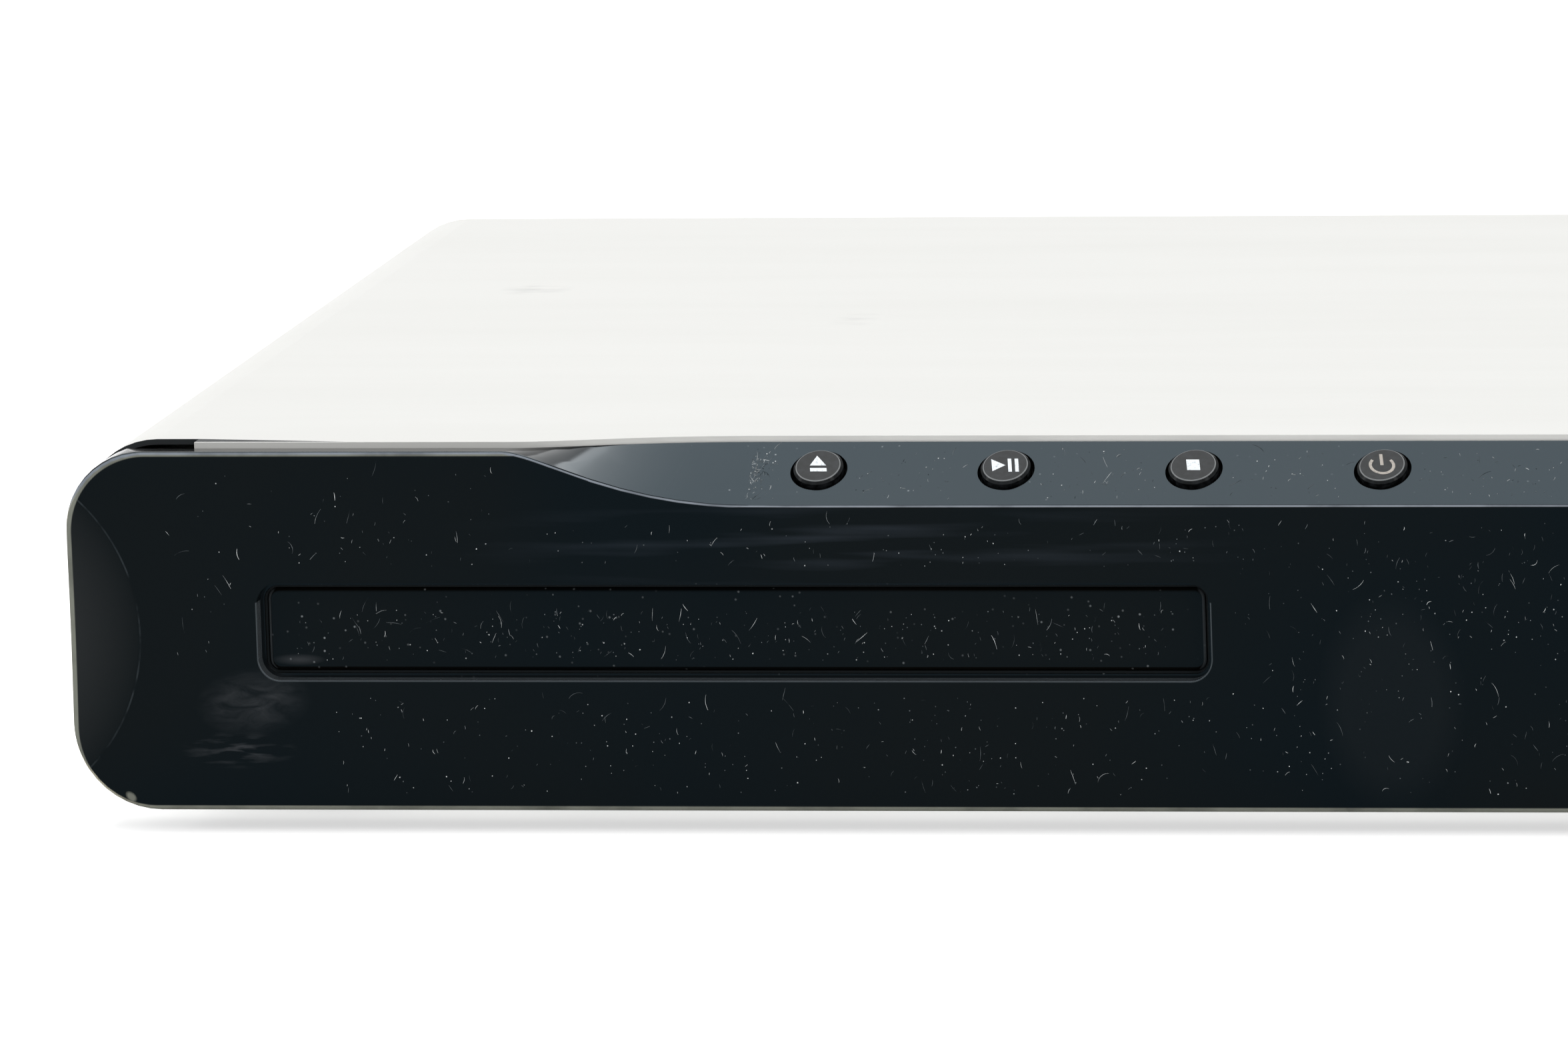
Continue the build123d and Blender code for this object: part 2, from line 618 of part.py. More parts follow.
# ---------------------------------------------------------------- top cover
cover_low = BASE + SKIRT_JOINT
screw_level = cover_low + 8.0
side_screw_depths = (SIDE_SCREW_FRONT, CASE_DEPTH - SIDE_SCREW_REAR)
rear_screw_places = (-WIDTH / 3, 0.0, WIDTH / 3)
with BuildPart() as top_cover:
    with BuildSketch(upright(END_DEPTH + SEAM)):
        add(case_outline(0, PANEL_TOP_RADIUS + COVER_RISE, 0, cover_low, COVER_TOP))
        add(
            case_outline(
                COVER_THICKNESS, PANEL_TOP_RADIUS + COVER_RISE, 0, cover_low - 2 * COVER_THICKNESS, COVER_TOP
            ),
            mode=Mode.SUBTRACT,
        )
    extrude(amount=-(CASE_DEPTH - END_DEPTH - SEAM))
    with BuildSketch(level(cover_low - 1.0)):
        add(front_strip(SEAM))
    extrude(amount=PANEL_HEIGHT, mode=Mode.SUBTRACT)
    with BuildSketch(level(COVER_TOP - COVER_LIP)):
        add(front_strip(SEAM + COVER_THICKNESS))
        add(front_strip(SEAM), mode=Mode.SUBTRACT)
        with Locations((0, FRONT)):
            Rectangle(WIDTH - 2 * COVER_LIP_END, 4 * MIDDLE_DEPTH, mode=Mode.INTERSECT)
    extrude(amount=COVER_LIP - COVER_THICKNESS)
    with BuildSketch(level(COVER_TOP - PANEL_TOP_RADIUS)):
        for side in (-1, 1):
            with Locations((side * (WIDTH - COVER_LIP_END) / 2, FRONT + END_DEPTH + SEAM)):
                Rectangle(COVER_LIP_END, 2 * COVER_NOTCH)
    extrude(amount=2 * PANEL_TOP_RADIUS, mode=Mode.SUBTRACT)
    with BuildSketch(upright(CASE_DEPTH)):
        with Locations((0, COVER_TOP - REAR_LIP / 2)):
            Rectangle(WIDTH - 4 * PANEL_TOP_RADIUS, REAR_LIP)
        with Locations(*[(x, COVER_TOP - REAR_LIP / 2) for x in rear_screw_places]):
            Circle(SCREW_DIAMETER / 2, mode=Mode.SUBTRACT)
    extrude(amount=COVER_THICKNESS)
    for side in (-1, 1):
        for depth in side_screw_depths:
            with BuildSketch(Plane(origin=(side * WIDTH / 2, FRONT + depth, screw_level), z_dir=(side, 0, 0))):
                Circle(SCREW_DIAMETER / 2)
            extrude(amount=2.0, both=True, mode=Mode.SUBTRACT)
save(top_cover, "top_cover")

# ---------------------------------------------------------------- bottom pan
pan_front = MIDDLE_DEPTH + SEAM
pan_side_top = BASE + SKIRT_JOINT - SEAM
flange_x = WIDTH / 2 - PAN_THICKNESS
flange_foot = BASE + SKIRT_JOINT / 2
foot_depths = (FOOT_FRONT, CASE_DEPTH - FOOT_REAR_INSET)
foot_places = [(side * (WIDTH / 2 - FOOT_INSET), FRONT + depth) for side in (-1, 1) for depth in foot_depths]
lug_places = [
    loader(side * (FRAME_OUTER + FRAME_LUG / 2), depth)
    for side in (-1, 1)
    for depth in (FRAME_FRONT + 10.0, FRAME_REAR - 10.0)
]


def board_corners(board):
    """Screw places at the four corners of a board lying in the pan."""
    x_low, x_high, depth_low, depth_high = board
    return [
        (x, FRONT + depth)
        for x in (x_low + BOARD_MARGIN, x_high - BOARD_MARGIN)
        for depth in (depth_low + BOARD_MARGIN, depth_high - BOARD_MARGIN)
    ]


board_screws = board_corners(MAIN_BOARD) + board_corners(POWER_BOARD)
with BuildPart() as bottom_pan:
    with BuildSketch(upright(pan_front)):
        add(case_outline(0, 0, PANEL_BOTTOM_RADIUS, BASE, pan_side_top))
        add(
            case_outline(PAN_THICKNESS, 0, PANEL_BOTTOM_RADIUS, BASE, pan_side_top + 2 * PAN_THICKNESS),
            mode=Mode.SUBTRACT,
        )
    extrude(amount=-(CASE_DEPTH - pan_front))
    with BuildSketch(upright(pan_front)):
        for side in (-1, 1):
            with Locations((side * (flange_x - PAN_THICKNESS / 2), (flange_foot + BASE + PAN_FLANGE) / 2)):
                Rectangle(PAN_THICKNESS, BASE + PAN_FLANGE - flange_foot)
    extrude(amount=-(CASE_DEPTH - pan_front - 2 * REAR_PLATE_THICKNESS - SEAM))
    with BuildSketch(upright(pan_front)):
        with Locations((0, PAN_FLOOR + PAN_FRONT_FLANGE / 2)):
            Rectangle(WIDTH - 3 * PANEL_BOTTOM_RADIUS, PAN_FRONT_FLANGE)
    extrude(amount=-PAN_THICKNESS)
    with BuildSketch(level(PAN_FLOOR)):
        with Locations(*lug_places):
            Circle(FRAME_LUG / 2)
    extrude(amount=FRAME_STAND)
    with BuildSketch(level(PAN_FLOOR)):
        with Locations(*board_screws):
            Circle(STANDOFF_DIAMETER / 2)
    extrude(amount=STANDOFF)
    with BuildSketch(level(BASE)):
        with Locations(*foot_places):
            Circle(FOOT_PEG / 2 + 0.1)
        with Locations(*(lug_places + board_screws)):
            Circle(SCREW_DIAMETER / 2)
        with Locations(((POWER_BOARD[0] + POWER_BOARD[1]) / 2, FRONT + FOOT_FRONT + 2 * VENT_LENGTH)):
            with GridLocations(VENT_PITCH, VENT_LENGTH + VENT_PITCH, VENT_COUNT // 2, 2):
                Rectangle(VENT_WIDTH, VENT_LENGTH)
    extrude(amount=2 * STANDOFF, mode=Mode.SUBTRACT)
    for side in (-1, 1):
        for depth in side_screw_depths:
            with BuildSketch(Plane(origin=(side * flange_x, FRONT + depth, screw_level), z_dir=(side, 0, 0))):
                Circle(SCREW_DIAMETER / 2)
            extrude(amount=2.0, both=True, mode=Mode.SUBTRACT)
save(bottom_pan, "bottom_pan")

foot_names = ("foot_front_left", "foot_rear_left", "foot_front_right", "foot_rear_right")
for name, (foot_x, foot_y) in zip(foot_names, foot_places):
    with BuildPart() as foot:
        with BuildSketch(level(0)):
            with Locations((foot_x, foot_y)):
                Circle(FOOT_DIAMETER / 2)
        extrude(amount=FOOT_HEIGHT)
        chamfer(foot.faces().sort_by(Axis.Z)[0].edges(), 0.2 * FOOT_HEIGHT)
        with BuildSketch(level(0)):
            with Locations((foot_x, foot_y)):
                Circle(FOOT_PEG)
        extrude(amount=0.3 * FOOT_HEIGHT, mode=Mode.SUBTRACT)
        with BuildSketch(level(FOOT_HEIGHT)):
            with Locations((foot_x, foot_y)):
                Circle(FOOT_PEG / 2)
        extrude(amount=2 * PAN_THICKNESS)
    save(foot, name)

# ---------------------------------------------------------------- rear plate and its sockets
rear_face = CASE_DEPTH - COVER_THICKNESS
plate_front = rear_face - REAR_PLATE_THICKNESS
jack_x = MAIN_BOARD[0] + 30.0
jack_z = BOARD_LEVEL + BOARD_THICKNESS + 0.5 * JACK_SPACING
hdmi_x = MAIN_BOARD[1] - 20.0
hdmi_size = (15.0, 6.0)
inlet_x = (POWER_BOARD[0] + POWER_BOARD[1]) / 2
inlet_z = BOARD_LEVEL + BOARD_THICKNESS + INLET_HEIGHT / 2 + 2.0
jack_offsets = [
    (JACK_SPACING * (column - (JACK_COLUMNS - 1) / 2), JACK_SPACING * row)
    for column in range(JACK_COLUMNS)
    for row in range(JACK_ROWS)
]
jack_spots = [(jack_x + across, jack_z + up) for across, up in jack_offsets]
hdmi_z = BOARD_LEVEL + BOARD_THICKNESS + hdmi_size[1] / 2
with BuildPart() as rear_plate:
    with BuildSketch(upright(plate_front)):
        add(
            case_outline(
                REAR_PLATE_INSET, PANEL_TOP_RADIUS + COVER_RISE, PANEL_BOTTOM_RADIUS, BASE, COVER_TOP
            )
        )
        with Locations(*jack_spots):
            Circle(JACK_BARREL / 2 + 0.2, mode=Mode.SUBTRACT)
        with Locations((hdmi_x, hdmi_z)):
            Rectangle(hdmi_size[0] + 0.6, hdmi_size[1] + 0.6, mode=Mode.SUBTRACT)
        with Locations((inlet_x, inlet_z)):
            Rectangle(INLET_WIDTH + 0.4, INLET_HEIGHT + 0.4, mode=Mode.SUBTRACT)
        with Locations(*[(x, COVER_TOP - REAR_LIP / 2) for x in rear_screw_places]):
            Circle(SCREW_DIAMETER / 2, mode=Mode.SUBTRACT)
        with Locations((LOADER_X, (BASE + COVER_TOP) / 2)):
            with GridLocations(VENT_PITCH, 0, VENT_COUNT, 1):
                Rectangle(VENT_WIDTH, VENT_LENGTH, mode=Mode.SUBTRACT)
    extrude(amount=-REAR_PLATE_THICKNESS)
save(rear_plate, "rear_plate")

with BuildPart() as av_jacks:
    jack_block_depth = 12.0
    with BuildSketch(upright(plate_front - jack_block_depth)):
        with Locations((jack_x, jack_z + (JACK_ROWS - 1) * JACK_SPACING / 2)):
            Rectangle(JACK_COLUMNS * JACK_SPACING, JACK_ROWS * JACK_SPACING)
    extrude(amount=-(jack_block_depth - 0.2))
    with BuildSketch(upright(plate_front - 1.0)):
        with Locations(*jack_spots):
            Circle(JACK_BARREL / 2)
    extrude(amount=-(DEPTH - plate_front + 1.0))
    with BuildSketch(upright(DEPTH)):
        with Locations(*jack_spots):
            Circle(JACK_BORE / 2)
    extrude(amount=JACK_PROUD, mode=Mode.SUBTRACT)
save(av_jacks, "av_jacks")

with BuildPart() as hdmi_socket:
    hdmi_depth = 11.0
    with BuildSketch(upright(rear_face - hdmi_depth)):
        with Locations((hdmi_x, hdmi_z)):
            Rectangle(*hdmi_size)
    extrude(amount=-hdmi_depth)
    with BuildSketch(upright(rear_face)):
        with Locations((hdmi_x, hdmi_z)):
            Rectangle(hdmi_size[0] - 1.0, hdmi_size[1] - 1.0)
            Rectangle(hdmi_size[0] - 4.0, 1.2, mode=Mode.SUBTRACT)
    extrude(amount=hdmi_depth - 1.0, mode=Mode.SUBTRACT)
save(hdmi_socket, "hdmi_socket")

with BuildPart() as mains_inlet:
    inlet_depth = 20.0
    with BuildSketch(upright(rear_face - inlet_depth)):
        with Locations((inlet_x, inlet_z)):
            Rectangle(INLET_WIDTH, INLET_HEIGHT)
    extrude(amount=-(inlet_depth - 1.0))
    with BuildSketch(upright(rear_face - 1.0)):
        with Locations((inlet_x, inlet_z)):
            Rectangle(INLET_WIDTH, INLET_HEIGHT)
    extrude(amount=-1.0)
    with BuildSketch(upright(rear_face)):
        with Locations((inlet_x, inlet_z)):
            SlotCenterToCenter(8.6, 9.4)
            with Locations((-4.3, 0), (4.3, 0)):
                Circle(1.2, mode=Mode.SUBTRACT)
    extrude(amount=inlet_depth - 5.0, mode=Mode.SUBTRACT)
    with BuildSketch(upright(rear_face - inlet_depth)):
        with Locations((inlet_x, (BOARD_LEVEL + BOARD_THICKNESS + inlet_z - INLET_HEIGHT / 2) / 2)):
            Rectangle(INLET_WIDTH, inlet_z - INLET_HEIGHT / 2 - BOARD_LEVEL - BOARD_THICKNESS)
    extrude(amount=-(inlet_depth - 10.0))
save(mains_inlet, "mains_inlet")

# ---------------------------------------------------------------- boards lying in the pan
for name, board in (("main_board", MAIN_BOARD), ("power_board", POWER_BOARD)):
    x_low, x_high, depth_low, depth_high = board
    with BuildPart() as flat_board:
        with BuildSketch(level(BOARD_LEVEL)):
            with Locations(((x_low + x_high) / 2, FRONT + (depth_low + depth_high) / 2)):
                Rectangle(x_high - x_low, depth_high - depth_low)
            with Locations(*board_corners(board)):
                Circle(SCREW_DIAMETER / 2, mode=Mode.SUBTRACT)
        extrude(amount=BOARD_THICKNESS)
    save(flat_board, name)

board_top = BOARD_LEVEL + BOARD_THICKNESS
main_mid = ((MAIN_BOARD[0] + MAIN_BOARD[1]) / 2, FRONT + (MAIN_BOARD[2] + MAIN_BOARD[3]) / 2)
with BuildPart() as main_board_chips:
    with BuildSketch(level(board_top)):
        with Locations(main_mid):
            Rectangle(CHIP_SIDE, CHIP_SIDE)
            with Locations((-30, 12), (-30, -14), (28, 20)):
                Rectangle(11.0, 18.0)
            with Locations((30, -18)):
                Rectangle(10.0, 8.0)
    extrude(amount=1.8)
save(main_board_chips, "main_board_chips")

with BuildPart() as decoder_heat_sink:
    with BuildSketch(level(board_top + 1.8)):
        with Locations(main_mid):
            Rectangle(SINK_SIDE, SINK_SIDE)
    extrude(amount=2.0)
    with BuildSketch(level(board_top + 3.8)):
        with Locations(main_mid):
            with GridLocations(3.6, 0, 8, 1):
                Rectangle(0.8, SINK_SIDE)
    extrude(amount=7.0)
save(decoder_heat_sink, "decoder_heat_sink")

power_mid = (inlet_x, FRONT + (POWER_BOARD[2] + POWER_BOARD[3]) / 2)
with BuildPart() as transformer:
    with BuildSketch(level(board_top)):
        with Locations(power_mid):
            Rectangle(30.0, 26.0)
    extrude(amount=4.0)
    with BuildSketch(level(board_top + 4.0)):
        with Locations(power_mid):
            RectangleRounded(24.0, 24.0, 4.0)
    extrude(amount=16.0)
    with BuildSketch(level(board_top + 7.0)):
        with Locations(power_mid):
            Rectangle(31.0, 12.0)
    extrude(amount=10.0)
save(transformer, "transformer")

with BuildPart() as mains_capacitor:
    with BuildSketch(level(board_top)):
        with Locations((inlet_x + 14.0, power_mid[1] + 34.0)):
            Circle(9.0)
    extrude(amount=30.0)
    chamfer(mains_capacitor.faces().sort_by(Axis.Z)[-1].edges(), 1.0)
save(mains_capacitor, "mains_capacitor")

with BuildPart() as small_capacitors:
    with BuildSketch(level(board_top)):
        with Locations((inlet_x, power_mid[1] - 34.0)):
            with GridLocations(14.0, 16.0, 3, 2):
                Circle(5.0)
    extrude(amount=18.0)
save(small_capacitors, "small_capacitors")

with BuildPart() as power_heat_sink:
    with BuildSketch(level(board_top)):
        with Locations((inlet_x - 22.0, power_mid[1] + 28.0)):
            Rectangle(2.0, 34.0)
            with GridLocations(0, 8.0, 1, 5):
                with Locations((3.5, 0)):
                    Rectangle(6.0, 1.2)
    extrude(amount=24.0)
save(power_heat_sink, "power_heat_sink")

# ---------------------------------------------------------------- board, display and sockets behind the panel
board_span = front_board_x[1] - front_board_x[0]
with BuildPart() as front_board:
    with BuildSketch(upright(FRONT_BOARD_SETBACK)):
        with Locations((sum(front_board_x) / 2, sum(front_board_z) / 2)):
            Rectangle(board_span, front_board_z[1] - front_board_z[0])
        with Locations(*boss_places):
            Circle(SCREW_DIAMETER / 2, mode=Mode.SUBTRACT)
    extrude(amount=-BOARD_THICKNESS)
save(front_board, "front_board")

with BuildPart() as display_module:
    with BuildSketch(upright(PANEL_WALL + 0.3)):
        with Locations((LEFT + WINDOW_CENTRE, window_mid)):
            Rectangle(WINDOW_WIDTH - 4.0, WINDOW_HEIGHT + 4.0)
    extrude(amount=-(FRONT_BOARD_SETBACK - PANEL_WALL - 0.3))
save(display_module, "display_module")

ir_x = LEFT + WINDOW_CENTRE + WINDOW_WIDTH / 2 + 8.0
with BuildPart() as ir_receiver:
    with BuildSketch(upright(PANEL_WALL + 0.5)):
        with Locations((ir_x, window_mid)):
            Rectangle(6.0, 7.0)
    extrude(amount=-(FRONT_BOARD_SETBACK - PANEL_WALL - 0.5))
save(ir_receiver, "ir_receiver")

usb_mouth = 0.8
with BuildPart() as usb_socket:
    with BuildSketch(upright(usb_mouth)):
        with Locations((LEFT + USB_CENTRE, BASE + USB_LEVEL)):
            Rectangle(USB_WIDTH, USB_HEIGHT)
    extrude(amount=-(FRONT_BOARD_SETBACK - usb_mouth))
    with BuildSketch(upright(usb_mouth)):
        with Locations((LEFT + USB_CENTRE, BASE + USB_LEVEL)):
            Rectangle(USB_WIDTH - 2 * USB_SHELL, USB_HEIGHT - 2 * USB_SHELL)
        with Locations((LEFT + USB_CENTRE, BASE + USB_LEVEL + 1.2)):
            Rectangle(USB_WIDTH - 4 * USB_SHELL, 1.6, mode=Mode.SUBTRACT)
    extrude(amount=-(FRONT_BOARD_SETBACK - usb_mouth - 0.8), mode=Mode.SUBTRACT)
save(usb_socket, "usb_socket")

# ---------------------------------------------------------------- loader frame
frame_depth = FRAME_REAR - FRAME_FRONT
frame_mid = loader(0, (FRAME_FRONT + FRAME_REAR) / 2)
bracket_in = DECK_HALF + 2 * RUNNING_GAP
bracket_out = bracket_in + 2 * FRAME_WALL - RUNNING_GAP
wheel_reach = DRIVE_MODULE * TRAY_WHEEL_TEETH / 2
pulley_pinion_pitch = DRIVE_MODULE * PULLEY_PINION_TEETH / 2
pinion_pitch = RACK_MODULE * TRAY_PINION_TEETH / 2
tray_gear_side = -(RACK_LINE - pinion_pitch)
pulley_gear_side = tray_gear_side + wheel_reach + pulley_pinion_pitch
pulley_low = PLATFORM_TOP + LEVEL_GAP
pulley_high = pulley_low + PULLEY_HEIGHT
wheel_low = pulley_high + LEVEL_GAP
rack_low = WELL_UNDERSIDE - RACK_HEIGHT - LEVEL_GAP
wheel_high = rack_low - LEVEL_GAP - 0.2
pinion_high = WELL_UNDERSIDE - LEVEL_GAP
post_top = pinion_high - 2 * RUNNING_GAP
post_radius = GEAR_BORE / 2 - SHAFT_CLEARANCE
opening_front = FRAME_FRONT + FRAME_WALL + 2 * RUNNING_GAP
opening_rear = PIVOT_DEPTH - 7.0
cable_level = BOARD_LEVEL + BOARD_THICKNESS + CABLE_ABOVE_BOARD
socket_mid_depth = MAIN_BOARD[2] + CABLE_SOCKET_DEPTH / 2 + 1.0
loader_cable_depth = socket_mid_depth - 20.0
rail_front = PLATFORM_REAR - 1.2
rail_rear = PLATFORM_REAR + RUNNING_GAP + CAM_THICKNESS + RUNNING_GAP
opening_half = FRAME_INNER - 10.0
with BuildPart() as loader_frame:
    with BuildSketch(level(FRAME_LEVEL)):
        with Locations(frame_mid):
            Rectangle(2 * FRAME_OUTER, frame_depth)
    extrude(amount=FRAME_TOP - FRAME_LEVEL)
    with BuildSketch(level(FRAME_LEVEL + FRAME_FLOOR)):
        with Locations(frame_mid):
            Rectangle(2 * FRAME_INNER, frame_depth - 2 * FRAME_WALL)
    extrude(amount=FRAME_TOP, mode=Mode.SUBTRACT)
    with BuildSketch(level(SKIRT_FOOT - 3.0)):
        with Locations(loader(0, FRAME_FRONT)):
            Rectangle(2 * FRAME_INNER, 4 * FRAME_WALL)
    extrude(amount=FRAME_TOP, mode=Mode.SUBTRACT)
    with BuildSketch(level(FRAME_LEVEL)):
        with Locations(loader(0, (opening_front + opening_rear) / 2)):
            Rectangle(2 * opening_half, opening_rear - opening_front)
    extrude(amount=FRAME_FLOOR, mode=Mode.SUBTRACT)
    with BuildSketch(level(PAN_FLOOR + RUNNING_GAP)):
        with Locations(loader(0, (rail_front + rail_rear) / 2)):
            Rectangle(2 * FRAME_OUTER, rail_rear - rail_front)
    extrude(amount=FRAME_LEVEL - PAN_FLOOR - RUNNING_GAP)
    with BuildSketch(level(FRAME_LEVEL)):
        with Locations(loader(0, (rail_front + PLATFORM_REAR) / 2)):
            Rectangle(2 * FRAME_OUTER, PLATFORM_REAR - rail_front)
    extrude(amount=FRAME_FLOOR)
    with BuildSketch(level(PLATFORM_TOP - PLATFORM_THICKNESS)):
        with Locations(loader(0, (FRAME_FRONT + 1.0 + PLATFORM_REAR) / 2)):
            Rectangle(2 * FRAME_INNER + 1.0, PLATFORM_REAR - FRAME_FRONT - 1.0)
        with Locations(loader(MOTOR_SIDE, DRIVE_DEPTH)):
            Circle(3.2 * MOTOR_SHAFT / 2, mode=Mode.SUBTRACT)
    extrude(amount=PLATFORM_THICKNESS)
    with BuildSketch(level(PLATFORM_TOP)):
        with Locations(loader(tray_gear_side, DRIVE_DEPTH), loader(pulley_gear_side, DRIVE_DEPTH)):
            Circle(post_radius)
    extrude(amount=post_top - PLATFORM_TOP)
    with BuildSketch(level(LEDGE_TOP - FRAME_FLOOR)):
        for side in (-1, 1):
            with Locations(loader(side * (FRAME_INNER + 0.5 - LEDGE_WIDTH / 2), frame_mid[1] - FRONT)):
                Rectangle(LEDGE_WIDTH + 1.0, frame_depth - 2 * FRAME_WALL + 1.0)
    extrude(amount=FRAME_FLOOR)
    with BuildSketch(level(TRAY_TOP + RUNNING_GAP)):
        for side in (-1, 1):
            for depth in (FRAME_FRONT + 22.0, DISC_CENTRE + 40.0, FRAME_REAR - 20.0):
                with Locations(loader(side * (FRAME_INNER + 0.5 - TAB_REACH / 2), depth)):
                    Rectangle(TAB_REACH + 1.0, 10.0)
    extrude(amount=FRAME_TOP - TRAY_TOP - RUNNING_GAP)
    with BuildSketch(level(FRAME_LEVEL + FRAME_FLOOR)):
        for side in (-1, 1):
            with Locations(loader(side * (bracket_in + bracket_out) / 2, PIVOT_DEPTH)):
                Rectangle(bracket_out - bracket_in, 2 * PIVOT_DIAMETER)
    extrude(amount=PIVOT_LEVEL + PIVOT_DIAMETER - FRAME_LEVEL - FRAME_FLOOR)
    with BuildSketch(Plane(origin=(LOADER_X, FRONT + PIVOT_DEPTH, PIVOT_LEVEL), z_dir=(1, 0, 0))):
        Circle(PIVOT_DIAMETER / 2 + SHAFT_CLEARANCE)
    extrude(amount=bracket_out, both=True, mode=Mode.SUBTRACT)
    with BuildSketch(level(cable_level - 2 * CABLE_THICKNESS)):
        with Locations(loader(FRAME_OUTER, loader_cable_depth)):
            Rectangle(4 * FRAME_WALL, CABLE_WIDTH + 1.0)
    extrude(amount=4 * CABLE_THICKNESS, mode=Mode.SUBTRACT)
    with BuildSketch(level(FRAME_LEVEL)):
        with Locations(*lug_places):
            Circle(FRAME_LUG / 2)
            Rectangle(FRAME_LUG, FRAME_LUG / 2)
        with Locations(frame_mid):
            Rectangle(2 * FRAME_OUTER, frame_depth, mode=Mode.SUBTRACT)
        with Locations(*lug_places):
            Circle(SCREW_DIAMETER / 2, mode=Mode.SUBTRACT)
    extrude(amount=FRAME_FLOOR)
save(loader_frame, "loader_frame")

# ---------------------------------------------------------------- disc tray
tray_half = TRAY_WIDTH / 2
tray_mid = loader(0, (TRAY_FRONT + TRAY_REAR) / 2)
tray_length = TRAY_REAR - TRAY_FRONT
disc_middle = loader(0, DISC_CENTRE)
pocket_top = TRAY_TOP - TRAY_SKIN
rack_start = DRIVE_DEPTH - pinion_pitch
rack_end = TRAY_REAR - 2 * TRAY_WALL
rack_back_mid = loader(-RACK_LINE - 1.2 * RACK_MODULE - RACK_BACK / 2, (rack_start + rack_end) / 2)
with BuildPart() as tray_pockets:
    with BuildSketch(level(WELL_UNDERSIDE)):
        with Locations(tray_mid):
            Rectangle(TRAY_WIDTH - 2 * TRAY_WALL, tray_length - 2 * TRAY_WALL)
        with Locations(disc_middle):
            Circle(DISC_WELL / 2 + TRAY_WALL, mode=Mode.SUBTRACT)
        with Locations(loader(0, (DISC_CENTRE + TRAY_REAR) / 2)):
            Rectangle(TRAY_SLOT + 2 * TRAY_WALL, TRAY_REAR - DISC_CENTRE, mode=Mode.SUBTRACT)
    extrude(amount=pocket_top - WELL_UNDERSIDE)

with BuildPart() as disc_tray:
    with BuildSketch(level(WELL_UNDERSIDE)):
        with Locations(tray_mid):
            Rectangle(TRAY_WIDTH, tray_length)
    extrude(amount=TRAY_TOP - WELL_UNDERSIDE)
    fillet(disc_tray.edges().filter_by(Axis.Z).group_by(Axis.Y)[-1], 2 * TRAY_WALL)
    add(tray_pockets.part, mode=Mode.SUBTRACT)
    with BuildSketch(level(WELL_FLOOR)):
        with Locations(disc_middle):
            Circle(DISC_WELL / 2)
    extrude(amount=WELL_DEPTH, mode=Mode.SUBTRACT)
    with BuildSketch(level(WELL_FLOOR - SMALL_WELL_STEP)):
        with Locations(disc_middle):
            Circle(SMALL_WELL / 2)
    extrude(amount=SMALL_WELL_STEP, mode=Mode.SUBTRACT)
    chamfer(disc_tray.edges().filter_by(GeomType.CIRCLE).group_by(Axis.Z)[-1], 0.6)
    with BuildSketch(level(WELL_UNDERSIDE)):
        with Locations(disc_middle):
            Circle(TRAY_SLOT / 2 + SLOT_REACH)
        with Locations(loader(0, (DISC_CENTRE + TRAY_REAR + 1.0) / 2)):
            Rectangle(TRAY_SLOT, TRAY_REAR + 1.0 - DISC_CENTRE)
    extrude(amount=TRAY_TOP, mode=Mode.SUBTRACT)
    with BuildSketch(level(WELL_FLOOR)):
        for side in (-1, 1):
            with Locations(loader(side * tray_half, DISC_CENTRE)):
                Rectangle(2 * (tray_half - DISC_WELL / 2 + 3.0), 26.0)
    extrude(amount=WELL_DEPTH - 1.6, mode=Mode.SUBTRACT)
    with BuildSketch(level(SKIRT_FOOT)):
        for side in (-1, 1):
            with Locations(loader(side * (tray_half - TRAY_WALL / 2), tray_mid[1] - FRONT)):
                Rectangle(TRAY_WALL, tray_length - 4 * TRAY_WALL)
    extrude(amount=WELL_FLOOR - SKIRT_FOOT)
    with BuildSketch(level(rack_low)):
        with Locations(loader(0, 0)):
            add(
                rack_outline(
                    RACK_MODULE, -RACK_LINE, RACK_BACK, rack_start, rack_end,
                    DRIVE_DEPTH + math.pi * RACK_MODULE / 2, 1,
                )
            )
    extrude(amount=RACK_HEIGHT)
    with BuildSketch(level(rack_low + RACK_HEIGHT)):
        with Locations(rack_back_mid):
            Rectangle(RACK_BACK, rack_end - rack_start)
        with Locations(disc_middle):
            Circle(DISC_WELL / 2 - 1.0, mode=Mode.SUBTRACT)
    extrude(amount=pocket_top - rack_low - RACK_HEIGHT)
    with BuildSketch(level(rack_low + RACK_HEIGHT)):
        with Locations(rack_back_mid):
            Rectangle(RACK_BACK, rack_end - rack_start)
    extrude(amount=WELL_UNDERSIDE - rack_low - RACK_HEIGHT + 0.5)
save(disc_tray, "disc_tray")

# ---------------------------------------------------------------- tray drive
with BuildPart() as tray_gear:
    with BuildSketch(level(wheel_low)):
        with Locations(loader(tray_gear_side, DRIVE_DEPTH)):
            add(gear_outline(DRIVE_MODULE, TRAY_WHEEL_TEETH))
    extrude(amount=wheel_high - wheel_low)
    with BuildSketch(level(wheel_high)):
        with Locations(loader(tray_gear_side, DRIVE_DEPTH)):
            add(gear_outline(RACK_MODULE, TRAY_PINION_TEETH))
    extrude(amount=pinion_high - wheel_high)
    with BuildSketch(level(pulley_low)):
        with Locations(loader(tray_gear_side, DRIVE_DEPTH)):
            Circle(GEAR_BORE)
    extrude(amount=wheel_low - pulley_low)
    with BuildSketch(level(pulley_low)):
        with Locations(loader(tray_gear_side, DRIVE_DEPTH)):
            Circle(GEAR_BORE / 2)
    extrude(amount=pinion_high, mode=Mode.SUBTRACT)
save(tray_gear, "tray_gear")


